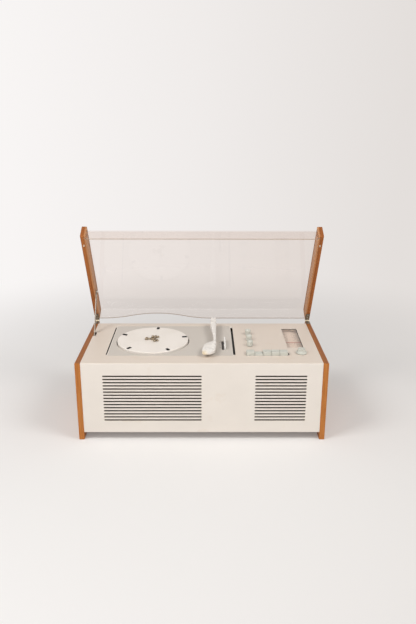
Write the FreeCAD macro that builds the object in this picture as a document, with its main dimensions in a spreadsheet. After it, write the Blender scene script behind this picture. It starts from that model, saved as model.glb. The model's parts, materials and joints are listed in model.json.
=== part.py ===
import FreeCAD, Part
import math
import os
import re
import Sketcher
from FreeCAD import Placement, Rotation, Vector

# Radio record player, in millimetres. X runs to the right, Y to the back and Z up from the floor.
# Pieces are drawn about the middle of the case and then moved so that the box of the opened player,
# seen from above, is centred on the origin.

SIZES = {
    # wooden cheeks and folded case
    "case_width": 584,
    "case_depth": 294,
    "cheek_thick": 13,
    "cheek_height": 196,
    "cheek_round": 1.5,
    "leg_height": 19.5,
    "shell_inset": 1,
    "sheet": 1.5,
    "bend_round": 2.4,
    "shell_fold": 12,
    "deck_depth": 277,
    "board": 3,
    "board_gap": 0.5,
    "cleat": 12,
    "cleat_front": 24,
    "cleat_skin": 2,
    # sound slots, grille cloth and loudspeaker
    "slot_height": 4,
    "slot_pitch": 8,
    "slot_margin": 32,
    "left_slot_margin": 49,
    "left_slot_length": 229.5,
    "right_slot_margin": 35.5,
    "right_slot_length": 120,
    "cloth": 0.8,
    "cloth_border": 8,
    "baffle": 6,
    "baffle_lip": 1,
    "speaker_rim": 11,
    "speaker_depth": 40,
    "basket_sheet": 1.5,
    "basket_lap": 3,
    "basket_step": 2,
    "cone_paper": 0.8,
    "cone_roll": 2,
    "coil_radius": 13,
    "coil_gap": 1,
    "magnet_radius": 30,
    "magnet_length": 22,
    # lid
    "lid_gap": 4,
    "lid_height": 36,
    "lid_open": 61.3,
    "cover_inset": 5.5,
    "cover_drop": 4.2,
    "cover_thick": 3,
    "cover_bend": 7,
    "cover_hem": 3,
    "hem_gap": 1,
    "groove_depth": 4,
    "groove_slack": 0.2,
    "wave_width": 290,
    "wave_height": 18,
    "buffer_radius": 1.7,
    "buffer_length": 9,
    "buffer_margin": 29,
    "buffer_slack": 0.2,
    # hinges
    "leaf_length": 21,
    "leaf_thick": 1.2,
    "leaf_margin": 0.8,
    "knuckle_radius": 2.6,
    "knuckle_gap": 0.3,
    "pin_radius": 1,
    "leaf_screw_pitch": 11,
    # lid stay
    "stay_reach": 98.7,
    "stay_rise": 12,
    "stay_width": 9,
    "stay_thick": 2,
    "stay_play": 0.6,
    "stay_slot": 28,
    "stay_slot_lead": 3,
    "stay_slot_width": 7,
    "stay_pin_radius": 1.8,
    "stay_pin_length": 3.5,
    "stay_pin_drop": 8,
    "stay_tail": 6,
    "stay_head_radius": 4.5,
    "stay_head": 1.6,
    "stay_bolt_radius": 2.5,
    "stay_bolt_grip": 8,
    # screws
    "screw_radius": 1.6,
    "screw_head_radius": 3.2,
    "screw_head": 1.8,
    "screw_grip": 8,
    "screw_tip_gap": 1,
    "running_fit": 0.05,
    "hole_slack": 0.2,
    "shaft_slack": 1,
    "overcut": 1,
    # record player plate
    "plate_left": 51,
    "plate_width": 307.6,
    "plate_front": 47,
    "plate_depth": 206,
    "plate_thick": 2,
    "plate_gap": 0.5,
    "plate_corner": 5,
    "left_notch": 3,
    "right_notch": 5.6,
    "notch_length": 190,
    "notch_shift": 2.5,
    "well_radius": 90.2,
    "well_depth": 18,
    "rail_width": 14,
    "rail_overlap": 15,
    "rail_drop": 6,
    "rail_end": 14,
    "rail_relief": 2,
    "bush_radius": 6,
    "bush_inset": 26,
    "bush_reach": 7.5,
    "stud_tail": 8,
    # platter and drive
    "platter_left": 105.5,
    "platter_front": 94.8,
    "platter_radius": 88,
    "platter_rise": 5,
    "platter_disc": 2.5,
    "platter_rim": 8,
    "platter_edge": 1,
    "rim_wall": 3,
    "skirt_radius": 80,
    "skirt_wall": 2.5,
    "skirt_clear": 3,
    "hub_radius": 12,
    "pad_length": 10,
    "pad_width": 5,
    "pad_rise": 1,
    "pad_sink": 0.8,
    "pad_circle": 80,
    "pad_turn": 12.5,
    "pad_count": 5,
    "spindle_radius": 3.55,
    "spindle_waist": 3,
    "journal_radius": 4,
    "spindle_rise": 10,
    "spindle_tip": 1.2,
    "bearing_radius": 10,
    "bearing_bore_depth": 26,
    "bearing_flange": 16,
    "star_radius": 19.1,
    "star_rise": 5,
    "star_hub_radius": 7,
    "star_hub_rise": 6,
    "star_arm": 5.5,
    "star_end": 10.5,
    "star_foot": 6,
    "motor_speed": 1400,
    "playing_speed": 33.33,
    "idler_radius": 20,
    "idler_tyre": 3,
    "idler_step": 1,
    "idler_thick": 3,
    "idler_height": 6,
    "idler_turn": 60,
    "motor_turn": 40,
    "drive_slack": 0.05,
    "axle_radius": 2,
    "shaft_length": 46,
    "motor_gap": 7,
    "motor_stack": 26,
    "motor_length": 58,
    "motor_width": 48,
    "motor_cover_radius": 20,
    "motor_cover": 8,
    "motor_bush_radius": 5,
    "motor_bush_circle": 20,
    "pulley_hole": 8,
    # speed lever
    "lever_right": 31.4,
    "lever_front": 36.5,
    "lever_slot_length": 58,
    "lever_slot_width": 10,
    "lever_thick": 3.8,
    "lever_rise": 11,
    "lever_gap": 0.6,
    "lever_shoe": 4,
    # tonearm
    "arm_right": 49.6,
    "arm_rear": 19,
    "arm_tail": 17,
    "arm_width": 15.5,
    "arm_base": 9.5,
    "arm_top": 24.5,
    "neck_reach": 134,
    "neck_width": 6.6,
    "neck_shift": 1.75,
    "neck_top": 17.5,
    "arm_wall": 1.6,
    "arm_round": 1.8,
    "head_height": 9,
    "head_length": 71,
    "head_width": 30,
    "head_lap": 8,
    "head_round": 3,
    "pillar_radius": 4.8,
    "pillar_rise": 7.5,
    "pillar_flange": 9,
    "post_floor": 1,
    "yoke_width": 8,
    "yoke_length": 14,
    "yoke_top": 18,
    "yoke_gap": 0.4,
    "yoke_shaft": 2.5,
    "pivot_height": 14,
    "pivot_radius": 1.2,
    "rest_reach": 93,
    "rest_radius": 2.2,
    "rest_gap": 0.1,
    "cartridge_length": 22,
    "cartridge_width": 11,
    "cartridge_height": 5.5,
    "cartridge_turn": 26,
    "stylus_drop": 2,
    # small knobs
    "knob_radius": 7.5,
    "knob_height": 14.5,
    "knob_dome": 2.2,
    "knob_lift": 0.8,
    "knob_inset": 12.1,
    "knob_front": 110,
    "knob_pitch": 39.25,
    "knob_shaft": 3,
    "pot_radius": 11,
    "pot_height": 14,
    "knob_shaft_depth": 11,
    # push keys
    "key_pitch": 19.7,
    "key_gap": 0.5,
    "key_depth": 17.5,
    "key_rise": 9,
    "key_travel": 4.8,
    "key_body": 12,
    "key_round": 1.4,
    "key_stem": 6,
    "key_stem_thick": 4,
    "key_stem_length": 18,
    "key_margin": 75.6,
    "key_slot_rest": 0.5,
    "peg_width": 2.6,
    "peg_length": 9,
    "peg_front": 3.5,
    "switch_drop": 20,
    "switch_height": 30,
    "switch_post": 6,
    # dial
    "window_margin": 31.5,
    "window_width": 39.5,
    "window_front": 98.5,
    "window_length": 137,
    "frame_height": 1.2,
    "frame_border": 4,
    "window_glass": 2,
    "scale_drop": 12.5,
    "scale_thick": 0.6,
    "scale_border": 10,
    "bracket_sheet": 1.5,
    "bracket_post": 2.5,
    "needle_width": 1.4,
    "needle_height": 1,
    "needle_gap": 2,
    "needle_place": 53.5,
    "rail_offset": 9,
    "pointer_rail": 1,
    "carriage_length": 8,
    "carriage_size": 4.4,
    "tune_inset": 10.8,
    "tune_front": 62.5,
    "tune_radius": 13,
    "tune_top_radius": 9,
    "tune_edge": 1,
    "tune_height": 12,
    "tune_skirt": 3.5,
    "tune_skirt_edge": 0.8,
    "tune_shaft": 3,
    "tune_pulley": 5,
    "drum_radius": 37.6,
    "drum_drop": 40,
    "drum_thick": 6,
    "drum_groove": 1.5,
    "drum_back": 62,
    "drum_left": 20,
    # radio works
    "chassis_left": 172,
    "chassis_right": 18,
    "chassis_front": 34,
    "chassis_back": 28,
    "chassis_height": 36,
    "capacitor_width": 42,
    "capacitor_depth": 46,
    "capacitor_gap": 4,
    "capacitor_shaft": 3,
    "mains_width": 58,
    "mains_depth": 48,
    "mains_height": 52,
    "output_width": 36,
    "output_depth": 30,
    "output_height": 34,
    "valve_radius": 10,
    "valve_height": 46,
    "valve_dome": 8,
    "valve_pitch": 32,
    "valve_count": 4,
    "valve_left": 24,
    "valve_front": 22,
    "transformer_front": 152,
    # rear sockets
    "strip_length": 60,
    "strip_height": 18,
    "strip_depth": 10,
    "strip_border": 5,
    "strip_right": 79,
    "strip_level": 59,
    "socket_radius": 2,
    "socket_pitch": 12,
    "socket_depth": 9,
    "gland_bore": 3.4,
    "gland_wall": 2.6,
    "gland_lip": 2,
    "gland_left": 150,
    "vent_height": 4,
    "vent_pitch": 12,
    "vent_count": 7,
    "vent_bottom": 84,
    "vent_length": 110,
    "vent_margin": 60,
}

PLACES = {
    "half_in": "case_width / 2 - cheek_thick",
    "front_y": "-case_depth / 2",
    "back_y": "case_depth / 2",
    "shell_y": "front_y + shell_inset",
    "inner_y": "shell_y + sheet",
    "deck_top": "cheek_height",
    "deck_low": "deck_top - sheet",
    "deck_back": "shell_y + deck_depth",
    "floor_top": "leg_height + sheet + board",
    "slot_bottom": "leg_height + slot_margin",
    "slot_rows": "floor((deck_top - slot_margin - slot_bottom) / slot_pitch) + 1",
    "slot_field": "slot_pitch * (slot_rows - 1)",
    "speaker_radius": "slot_field / 2 + cloth_border",
    "speaker_opening": "speaker_radius - speaker_rim",
    "panel_back": "deck_back - sheet",
    "panel_y": "panel_back - board",
    "hinge_y": "back_y + knuckle_radius + knuckle_gap",
    "hinge_z": "cheek_height + lid_gap / 2",
    "lid_rear": "knuckle_radius + knuckle_gap",
    "lid_low": "lid_gap / 2",
    "lid_top": "lid_low + lid_height",
    "lid_front": "lid_rear + case_depth",
    "lean_round": "cheek_round * (cos(lid_open) + sin(lid_open) - 1)",
    "lid_overhang": "hinge_y - lid_rear * cos(lid_open) + lid_top * sin(lid_open) - lean_round",
    "origin_shift": "(lid_overhang + front_y) / 2",
    "pivot_y": "hinge_y - stay_reach * cos(lid_open) + stay_rise * sin(lid_open)",
    "pivot_z": "hinge_z + stay_reach * sin(lid_open) + stay_rise * cos(lid_open)",
    "slot_y": "hinge_y - stay_reach",
    "stay_lean": "atan((pivot_y - slot_y) / (pivot_z - deck_top)) / 1 deg",
    "stay_span": "sqrt((pivot_y - slot_y) ^ 2 + (pivot_z - deck_top) ^ 2)",
    "cut_left": "plate_left - half_in",
    "cut_right": "cut_left + plate_width",
    "cut_front": "shell_y + plate_front",
    "cut_back": "cut_front + plate_depth",
    "cut_mid": "(cut_front + cut_back) / 2",
    "plate_low": "deck_top - plate_thick",
    "well_floor": "deck_top - well_depth",
    "well_low": "well_floor - plate_thick",
    "rail_top": "plate_low - rail_drop",
    "platter_x": "cut_left + platter_left",
    "platter_y": "cut_front + platter_front",
    "platter_top": "deck_top + platter_rise",
    "skirt_inner": "skirt_radius - skirt_wall",
    "pulley_radius": "skirt_inner * playing_speed / motor_speed",
    "idler_reach": "skirt_inner - idler_radius - drive_slack",
    "idler_x": "platter_x + idler_reach * cos(idler_turn)",
    "idler_y": "platter_y + idler_reach * sin(idler_turn)",
    "motor_reach": "idler_radius + pulley_radius + drive_slack",
    "motor_x": "idler_x + motor_reach * cos(motor_turn)",
    "motor_y": "idler_y - motor_reach * sin(motor_turn)",
    "motor_top": "well_low - motor_gap",
    "lever_x": "cut_right - lever_right",
    "arm_x": "cut_right - arm_right",
    "arm_y": "cut_back - arm_rear",
    "arm_low": "deck_top + arm_base",
    "window_right": "half_in - window_margin",
    "window_left": "window_right - window_width",
    "window_y": "shell_y + window_front",
    "window_back": "window_y + window_length",
    "glass_top": "deck_low - frame_height",
    "glass_low": "glass_top - window_glass",
    "bracket_top": "deck_top - scale_drop",
    "rail_x": "window_right + rail_offset",
    "needle_y": "window_y + needle_place",
    "needle_z": "glass_low - needle_gap - needle_height / 2",
    "tune_x": "window_right - tune_inset",
    "tune_y": "shell_y + tune_front",
    "keys_right": "half_in - key_margin",
    "keys_left": "keys_right - 5 * key_pitch",
    "key_back": "cut_front + key_depth",
    "switch_top": "deck_top - switch_drop",
    "knob_x": "keys_left + knob_inset",
    "knob_y": "shell_y + knob_front",
    "drum_z": "deck_top - drum_drop",
    "drum_x": "window_right - drum_left",
    "drum_y": "window_y + drum_back",
    "chassis_top": "floor_top + chassis_height",
    "chassis_x": "half_in - chassis_left",
    "chassis_end": "half_in - chassis_right",
    "chassis_y": "shell_y + chassis_front",
    "chassis_rear": "panel_y - chassis_back",
    "strip_x": "half_in - strip_right",
    "gland_x": "half_in - gland_left",
}

# Two lengths nearer than this count as the same.
TOUCH = 1e-6

doc = FreeCAD.newDocument("radio_record_player")
pieces = []
spots = {}
cells = {}


def bind(text):
    """Write each named size or place in a formula as its cell."""
    return re.sub(r"[A-Za-z_]\w*", lambda word: cells.get(word.group(), word.group()), str(text))


def fill(name, rows, lead):
    """Make a sheet with one named cell for each row."""
    sheet = doc.addObject("Spreadsheet::Sheet", name)
    for row, (alias, value) in enumerate(rows.items(), 1):
        sheet.set(f"A{row}", alias)
        sheet.set(f"B{row}", lead + bind(value))
        sheet.setAlias(f"B{row}", alias)
        cells[alias] = f"{name}.{alias}"
    doc.recompute()
    return sheet


sizes = fill("Sizes", SIZES, "")
fill("Places", PLACES, "=")


def size(text):
    """Give the present value of a formula."""
    return float(sizes.evalExpression(bind(text)))


def put(thing, x, y, z):
    """Tie a thing's place to three formulas."""
    spots[thing.Name] = (x, y, z)
    for axis, text in zip("xyz", (x, y, z)):
        thing.setExpression("Placement.Base." + axis, bind(text))
    return thing


def box(name, x, y, z):
    """A block between pairs of formulas."""
    block = doc.addObject("Part::Box", name)
    for side, (low, high) in zip(("Length", "Width", "Height"), (x, y, z)):
        block.setExpression(side, bind(f"({high}) - ({low})"))
    return put(block, x[0], y[0], z[0])


def rod(name, radius, x, y, z):
    """A round bar along the one direction that is given as a pair."""
    bar = doc.addObject("Part::Cylinder", name)
    bar.setExpression("Radius", bind(radius))
    low, high = [pair for pair in (x, y, z) if isinstance(pair, tuple)][0]
    bar.setExpression("Height", bind(f"({high}) - ({low})"))
    if isinstance(x, tuple):
        bar.Placement = Placement(Vector(), Rotation(Vector(0, 1, 0), 90))
    if isinstance(y, tuple):
        bar.Placement = Placement(Vector(), Rotation(Vector(1, 0, 0), -90))
    base = [pair[0] if isinstance(pair, tuple) else pair for pair in (x, y, z)]
    return put(bar, *base)


def fuse(name, *things):
    joined = doc.addObject("Part::MultiFuse", name)
    joined.Shapes = list(things)
    joined.Refine = True
    return joined


def group(name, *things):
    """Separate solids kept side by side."""
    bundle = doc.addObject("Part::Compound", name)
    bundle.Links = list(things)
    return bundle


def cut(name, base, *tools):
    carved = doc.addObject("Part::Cut", name)
    carved.Base = base
    carved.Tool = tools[0] if len(tools) == 1 else group(name + "_tools", *tools)
    carved.Refine = True
    return carved


def body(name):
    return doc.addObject("PartDesign::Body", name)


def outline(owner, plane, level, *loops):
    """A sketch of closed loops: corner lists, or circles given as centre and radius."""
    sketch = owner.newObject("Sketcher::SketchObject", owner.Name + "_sketch")
    planes = {item.Role: item for item in owner.Origin.OriginFeatures}
    sketch.AttachmentSupport = [(planes[plane + "_Plane"], "")]
    sketch.MapMode = "FlatFace"
    sketch.setExpression("AttachmentOffset.Base.z", bind(level))

    def tie(kind, item, point, text):
        rule = sketch.addConstraint(Sketcher.Constraint(kind, -1, 1, item, point, size(text)))
        sketch.setExpression(f"Constraints[{rule}]", bind(text))

    for loop in loops:
        if isinstance(loop, tuple):
            x, y, radius = loop
            centre = Vector(size(x), size(y), 0)
            ring = sketch.addGeometry(Part.Circle(centre, Vector(0, 0, 1), size(radius)), False)
            tie("DistanceX", ring, 3, x)
            tie("DistanceY", ring, 3, y)
            rule = sketch.addConstraint(Sketcher.Constraint("Radius", ring, size(radius)))
            sketch.setExpression(f"Constraints[{rule}]", bind(radius))
            continue
        spots_now = [Vector(size(x), size(y), 0) for x, y in loop]
        ends = spots_now[1:] + spots_now[:1]
        lines = [sketch.addGeometry(Part.LineSegment(a, b), False) for a, b in zip(spots_now, ends)]
        for line, following in zip(lines, lines[1:] + lines[:1]):
            sketch.addConstraint(Sketcher.Constraint("Coincident", line, 2, following, 1))
        for line, (x, y) in zip(lines, loop):
            tie("DistanceX", line, 1, x)
            tie("DistanceY", line, 1, y)
    doc.recompute()
    return sketch


def pad(owner, sketch, length):
    feature = owner.newObject("PartDesign::Pad", owner.Name + "_pad")
    feature.Profile = sketch
    feature.setExpression("Length", bind(length))
    doc.recompute()
    return feature


def pocket(owner, sketch, depth):
    feature = owner.newObject("PartDesign::Pocket", owner.Name + "_pocket")
    feature.Profile = sketch
    feature.setExpression("Length", bind(depth))
    doc.recompute()
    return feature


def soften(owner, radius, choose):
    """Round the edges of a body's last feature that a test picks out."""
    last = owner.Tip
    names = [f"Edge{n}" for n, edge in enumerate(last.Shape.Edges, 1) if choose(edge)]
    feature = owner.newObject("PartDesign::Fillet", owner.Name + "_round")
    feature.Base = (last, names)
    feature.setExpression("Radius", bind(radius))
    doc.recompute()
    return feature


def turned(name, *profile):
    """A body turned about its own Z axis from corners of radius and height."""
    lathe = body(name)
    sketch = outline(lathe, "XZ", "0", list(profile))
    feature = lathe.newObject("PartDesign::Revolution", name + "_turn")
    feature.Profile = sketch
    feature.ReferenceAxis = (sketch, ["V_Axis"])
    feature.Angle = 360
    doc.recompute()
    return lathe


def runs_along(edge, axis):
    """True for a straight edge that runs along one axis."""
    first, last = edge.Vertexes[0].Point, edge.Vertexes[-1].Point
    span = last - first
    return edge.Curve.TypeId == "Part::GeomLine" and abs(abs(span.dot(axis)) - span.Length) < TOUCH


def rect(left, right, low, high):
    return [(left, low), (right, low), (right, high), (left, high)]


def piece(thing, label):
    """Name a finished sub-part of the case and move it to the common origin."""
    x, y, z = spots.get(thing.Name, ("0", "0", "0"))
    put(thing, x, f"({y}) - origin_shift", z)
    thing.Label = label
    pieces.append(thing)


def tilted(thing, label, y, z, angle):
    """Name a finished sub-part drawn about its pivot and swing it up about that pivot."""
    thing.Placement = Placement(Vector(), Rotation(Vector(-1, 0, 0), 1))
    put(thing, "0", f"({y}) - origin_shift", z)
    thing.setExpression("Placement.Rotation.Angle", bind(angle))
    thing.Label = label
    pieces.append(thing)


def lid_piece(thing, label):
    tilted(thing, label, "hinge_y", "hinge_z", "lid_open")


ALONG_X = Vector(1, 0, 0)
ALONG_Y = Vector(0, 1, 0)
ALONG_Z = Vector(0, 0, 1)
SIDES = (("left", -1), ("right", 1))


def span(side, inner, outer):
    """A pair of X formulas on one side of the middle, low end first."""
    if side < 0:
        return f"-({outer})", f"-({inner})"
    return inner, outer


# Cheeks

case_screws = []
lid_screws = []


def plank(name, x, y, z):
    """A wooden board with slightly rounded edges."""
    board = body(name)
    pad(board, outline(board, "YZ", x[0], rect(y[0], y[1], z[0], z[1])), f"({x[1]}) - ({x[0]})")
    soften(board, "cheek_round", lambda edge: True)
    return board


LEAF_SCREWS = ("leaf_screw_pitch / 2", "leaf_screw_pitch * 3 / 2")
FLANGE_SPOTS = (
    ("shell_y + shell_fold * 0.6", "deck_top - cheek_height * 0.3"),
    ("shell_y + shell_fold * 0.6", "leg_height + cheek_height * 0.2"),
    ("cut_front", "deck_top - shell_fold * 0.6"),
    ("deck_back - cleat * 2", "deck_top - shell_fold * 0.6"),
)

for label, side in SIDES:
    middle = f"{side} * (half_in + cheek_thick / 2)"
    holes = []
    for number, back in enumerate(LEAF_SCREWS):
        y = f"back_y - {back}"
        low = "deck_top - screw_grip"
        holes.append(rod(f"{label}_leaf_hole", "screw_radius + running_fit", middle, y,
                         (low, "deck_top + overcut")))
        shank = rod(f"{label}_leaf_shank", "screw_radius", middle, y,
                    (f"{low} + screw_tip_gap", "deck_top + leaf_thick"))
        head = rod(f"{label}_leaf_head", "screw_head_radius * 0.7", middle, y,
                   ("deck_top + leaf_thick / 2", "deck_top + leaf_thick"))
        case_screws.append(fuse(f"{label}_leaf_screw", shank, head))
    for y, z in FLANGE_SPOTS:
        hole_x = span(side, "half_in - overcut", "half_in + screw_grip")
        holes.append(rod(f"{label}_case_hole", "screw_radius + running_fit", hole_x, y, z))
        shank_x = span(side, "half_in - sheet", "half_in + screw_grip - screw_tip_gap")
        head_x = span(side, "half_in - sheet - screw_head", "half_in - sheet")
        shank = rod(f"{label}_case_shank", "screw_radius", shank_x, y, z)
        head = rod(f"{label}_case_head", "screw_head_radius", head_x, y, z)
        case_screws.append(fuse(f"{label}_case_screw", shank, head))
    cheek = plank(f"{label}_plank", span(side, "half_in", "case_width / 2"), ("front_y", "back_y"),
                  ("0", "cheek_height"))
    piece(cut(f"{label}_cheek", cheek, *holes), f"{label}_cheek")

# Folded metal shell

shell = body("shell")
profile = [
    ("shell_y", "leg_height"),
    ("shell_y + shell_fold", "leg_height"),
    ("shell_y + shell_fold", "leg_height + sheet"),
    ("inner_y", "leg_height + sheet"),
    ("inner_y", "deck_low"),
    ("panel_back", "deck_low"),
    ("panel_back", "deck_top - shell_fold"),
    ("deck_back", "deck_top - shell_fold"),
    ("deck_back", "deck_top"),
    ("shell_y", "deck_top"),
]
pad(shell, outline(shell, "YZ", "-half_in", profile), "2 * half_in")
band = [
    ("shell_y", "leg_height"),
    ("shell_y + shell_fold", "leg_height"),
    ("shell_y + shell_fold", "deck_top - shell_fold"),
    ("deck_back", "deck_top - shell_fold"),
    ("deck_back", "deck_top"),
    ("shell_y", "deck_top"),
]
pad(shell, outline(shell, "YZ", "-half_in", band), "sheet")
pad(shell, outline(shell, "YZ", "half_in - sheet", band), "sheet")


def on_bend(edge):
    """The long outer edges at the front and back of the deck."""
    point = edge.Vertexes[0].Point
    ends = (size("shell_y"), size("deck_back"))
    high = abs(point.z - size("deck_top")) < TOUCH
    return runs_along(edge, ALONG_X) and high and min(abs(point.y - end) for end in ends) < TOUCH


soften(shell, "bend_round", on_bend)
deck_holes = [
    rect("cut_left", "cut_right", "cut_front", "cut_back"),
    rect("keys_left - key_gap", "keys_right + key_slot_rest", "cut_front - key_gap", "key_back + key_gap"),
    rect("window_left", "window_right", "window_y", "window_back"),
    ("tune_x", "tune_y", "tune_shaft + shaft_slack"),
]
knob_rows = [f"knob_y + {row} * knob_pitch" for row in range(3)]
deck_holes += [("knob_x", y, "knob_shaft + shaft_slack") for y in knob_rows]
pocket(shell, outline(shell, "XY", "deck_top", *deck_holes), "sheet")
peg_notch = rect("keys_right", "keys_right + key_slot_rest + peg_width", "cut_front + peg_front",
                 "cut_front + peg_front + peg_length")
pocket(shell, outline(shell, "XY", "deck_top", peg_notch), "sheet")
stay_hole = rect("-half_in", "stay_slot_width - half_in", "slot_y - stay_slot_lead - stay_slot / 2",
                 "slot_y - stay_slot_lead + stay_slot / 2")
pocket(shell, outline(shell, "XY", "deck_top", stay_hole), "shell_fold")


def in_deck_corner(edge):
    """The upright corner edges of the record player's opening."""
    point = edge.Vertexes[0].Point
    x_gap = min(abs(point.x - size(name)) for name in ("cut_left", "cut_right"))
    y_gap = min(abs(point.y - size(name)) for name in ("cut_front", "cut_back"))
    return runs_along(edge, ALONG_Z) and max(x_gap, y_gap) < TOUCH


soften(shell, "plate_corner", in_deck_corner)
slots = []
for left, length in (
    ("left_slot_margin - half_in", "left_slot_length"),
    ("half_in - right_slot_margin - right_slot_length", "right_slot_length"),
):
    low = "slot_bottom - slot_height / 2"
    high = "slot_bottom + slot_height / 2"
    slots.append(rect(left, f"{left} + {length}", low, high))
sketch = outline(shell, "XZ", "-shell_y", *slots)
sound_slots = pocket(shell, sketch, "sheet")


def in_slot_end(edge):
    """The short corner edges of the sound slots."""
    point = edge.Vertexes[0].Point
    heights = [abs(point.z - size("slot_bottom")) - size("slot_height / 2")]
    return runs_along(edge, ALONG_Y) and edge.Length < size("sheet") + TOUCH and abs(heights[0]) < TOUCH


slot_ends = soften(shell, "slot_height * 0.49", in_slot_end)
pattern = shell.newObject("PartDesign::LinearPattern", "slot_rows")
pattern.Originals = [sound_slots, slot_ends]
pattern.Direction = (sketch, ["V_Axis"])
pattern.setExpression("Length", bind("slot_field"))
pattern.setExpression("Occurrences", bind("slot_rows"))
shell.Tip = pattern
doc.recompute()
flange_holes = []
for label, side in SIDES:
    for y, z in FLANGE_SPOTS:
        x = span(side, "half_in - sheet - overcut", "half_in + overcut")
        flange_holes.append(rod(f"{label}_flange_hole", "screw_radius + hole_slack", x, y, z))
piece(cut("cabinet_shell", shell, *flange_holes), "cabinet_shell")

# Panels and cleats

half_board = "half_in - sheet - board_gap"
screw_x = "half_in - cleat / 2"
cleats = []
floor_holes = []
panel_holes = []
for label, side in SIDES:
    cleat_x = span(side, "half_in - cleat", "half_in")
    low = box(f"{label}_floor_cleat", cleat_x, ("shell_y + cleat_front", "panel_y - cleat"),
              ("floor_top", "floor_top + cleat"))
    high = box(f"{label}_rear_cleat", cleat_x, ("panel_y - cleat", "panel_y"),
               ("floor_top", "deck_top - shell_fold - board_gap"))
    x = f"{side} * ({screw_x})"
    bores = []
    for y in ("shell_y + cleat_front * 2", "panel_y - cleat * 3"):
        z = ("leg_height + sheet", "floor_top + cleat - cleat_skin")
        bores.append(rod(f"{label}_floor_bore", "screw_radius + running_fit", x, y, z))
        shank = rod(f"{label}_floor_shank", "screw_radius", x, y,
                    (z[0], "floor_top + cleat - cleat_skin - screw_tip_gap"))
        head = rod(f"{label}_floor_head", "screw_head_radius", x, y,
                   ("leg_height + sheet - screw_head", "leg_height + sheet"))
        case_screws.append(fuse(f"{label}_floor_screw", shank, head))
        floor_holes.append(rod(f"{label}_floor_hole", "screw_radius + hole_slack", x, y,
                               ("leg_height", "floor_top + overcut")))
    for z in ("floor_top + cleat * 2", "deck_top - shell_fold - cleat * 2"):
        y = ("panel_y - cleat + cleat_skin", "panel_back")
        bores.append(rod(f"{label}_rear_bore", "screw_radius + running_fit", x, y, z))
        shank = rod(f"{label}_rear_shank", "screw_radius", x,
                    ("panel_y - cleat + cleat_skin + screw_tip_gap", "panel_back"), z)
        head = rod(f"{label}_rear_head", "screw_head_radius", x, ("panel_back", "panel_back + screw_head"), z)
        case_screws.append(fuse(f"{label}_rear_screw", shank, head))
        panel_holes.append(rod(f"{label}_rear_hole", "screw_radius + hole_slack", x,
                               ("panel_y - overcut", "panel_back + overcut"), z))
    cleats.append(cut(f"{label}_floor_strip", low, *bores[:2]))
    cleats.append(cut(f"{label}_rear_strip", high, *bores[2:]))
piece(group("corner_cleats", *cleats), "corner_cleats")

floor_board = box("floor_board", (f"-({half_board})", half_board), ("inner_y + board_gap", "panel_back"),
                  ("leg_height + sheet", "floor_top"))
for row in range(6):
    y = f"shell_y + cleat_front * 3 + {row} * vent_pitch"
    floor_holes.append(box("floor_vent", ("-half_in + vent_margin", "vent_margin + vent_length - half_in"),
                           (y, f"{y} + vent_height"), ("leg_height", "floor_top + overcut")))
piece(cut("bottom_panel", floor_board, *floor_holes), "bottom_panel")

rear_board = box("rear_board", (f"-({half_board})", half_board), ("panel_y", "panel_back"),
                 ("floor_top", "deck_low - board_gap"))
for row in range(SIZES["vent_count"]):
    z = (f"vent_bottom + {row} * vent_pitch", f"vent_bottom + {row} * vent_pitch + vent_height")
    for label, side in SIDES:
        x = span(side, "half_in - vent_margin - vent_length", "half_in - vent_margin")
        panel_holes.append(box(f"{label}_rear_vent", x, ("panel_y - overcut", "panel_back + overcut"), z))
lead_x = ("strip_x - strip_length / 2 + strip_border", "strip_x + strip_length / 2 - strip_border")
lead_z = ("strip_level - strip_height / 2 + strip_border", "strip_level + strip_height / 2 - strip_border")
panel_holes.append(box("strip_hole", lead_x, ("panel_y - overcut", "panel_back + overcut"), lead_z))
panel_holes.append(rod("gland_hole", "gland_bore + gland_wall", "gland_x",
                       ("panel_y - overcut", "panel_back + overcut"), "strip_level"))
piece(cut("rear_panel", rear_board, *panel_holes), "rear_panel")

strip = box("strip_block", ("strip_x - strip_length / 2", "strip_x + strip_length / 2"),
            ("panel_back", "panel_back + strip_depth"),
            ("strip_level - strip_height / 2", "strip_level + strip_height / 2"))
sockets = []
for step in (-1, 1):
    x = f"strip_x + {step} * socket_pitch / 2"
    sockets.append(rod("socket_bore", "socket_radius", x,
                       ("panel_back + strip_depth - socket_depth", "panel_back + strip_depth + overcut"),
                       "strip_level"))
piece(cut("strip", strip, *sockets), "socket_strip")

gland = turned(
    "gland",
    ("gland_bore", "-gland_lip"),
    ("gland_bore + gland_wall + gland_lip", "-gland_lip"),
    ("gland_bore + gland_wall + gland_lip", "0"),
    ("gland_bore + gland_wall - running_fit", "0"),
    ("gland_bore + gland_wall - running_fit", "board"),
    ("gland_bore + gland_wall + gland_lip", "board"),
    ("gland_bore + gland_wall + gland_lip", "board + gland_lip"),
    ("gland_bore", "board + gland_lip"),
)
gland.Placement = Placement(Vector(), Rotation(ALONG_X, -90))
piece(put(gland, "gland_x", "panel_y", "strip_level"), "mains_gland")

# Grille cloth and loudspeaker

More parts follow.
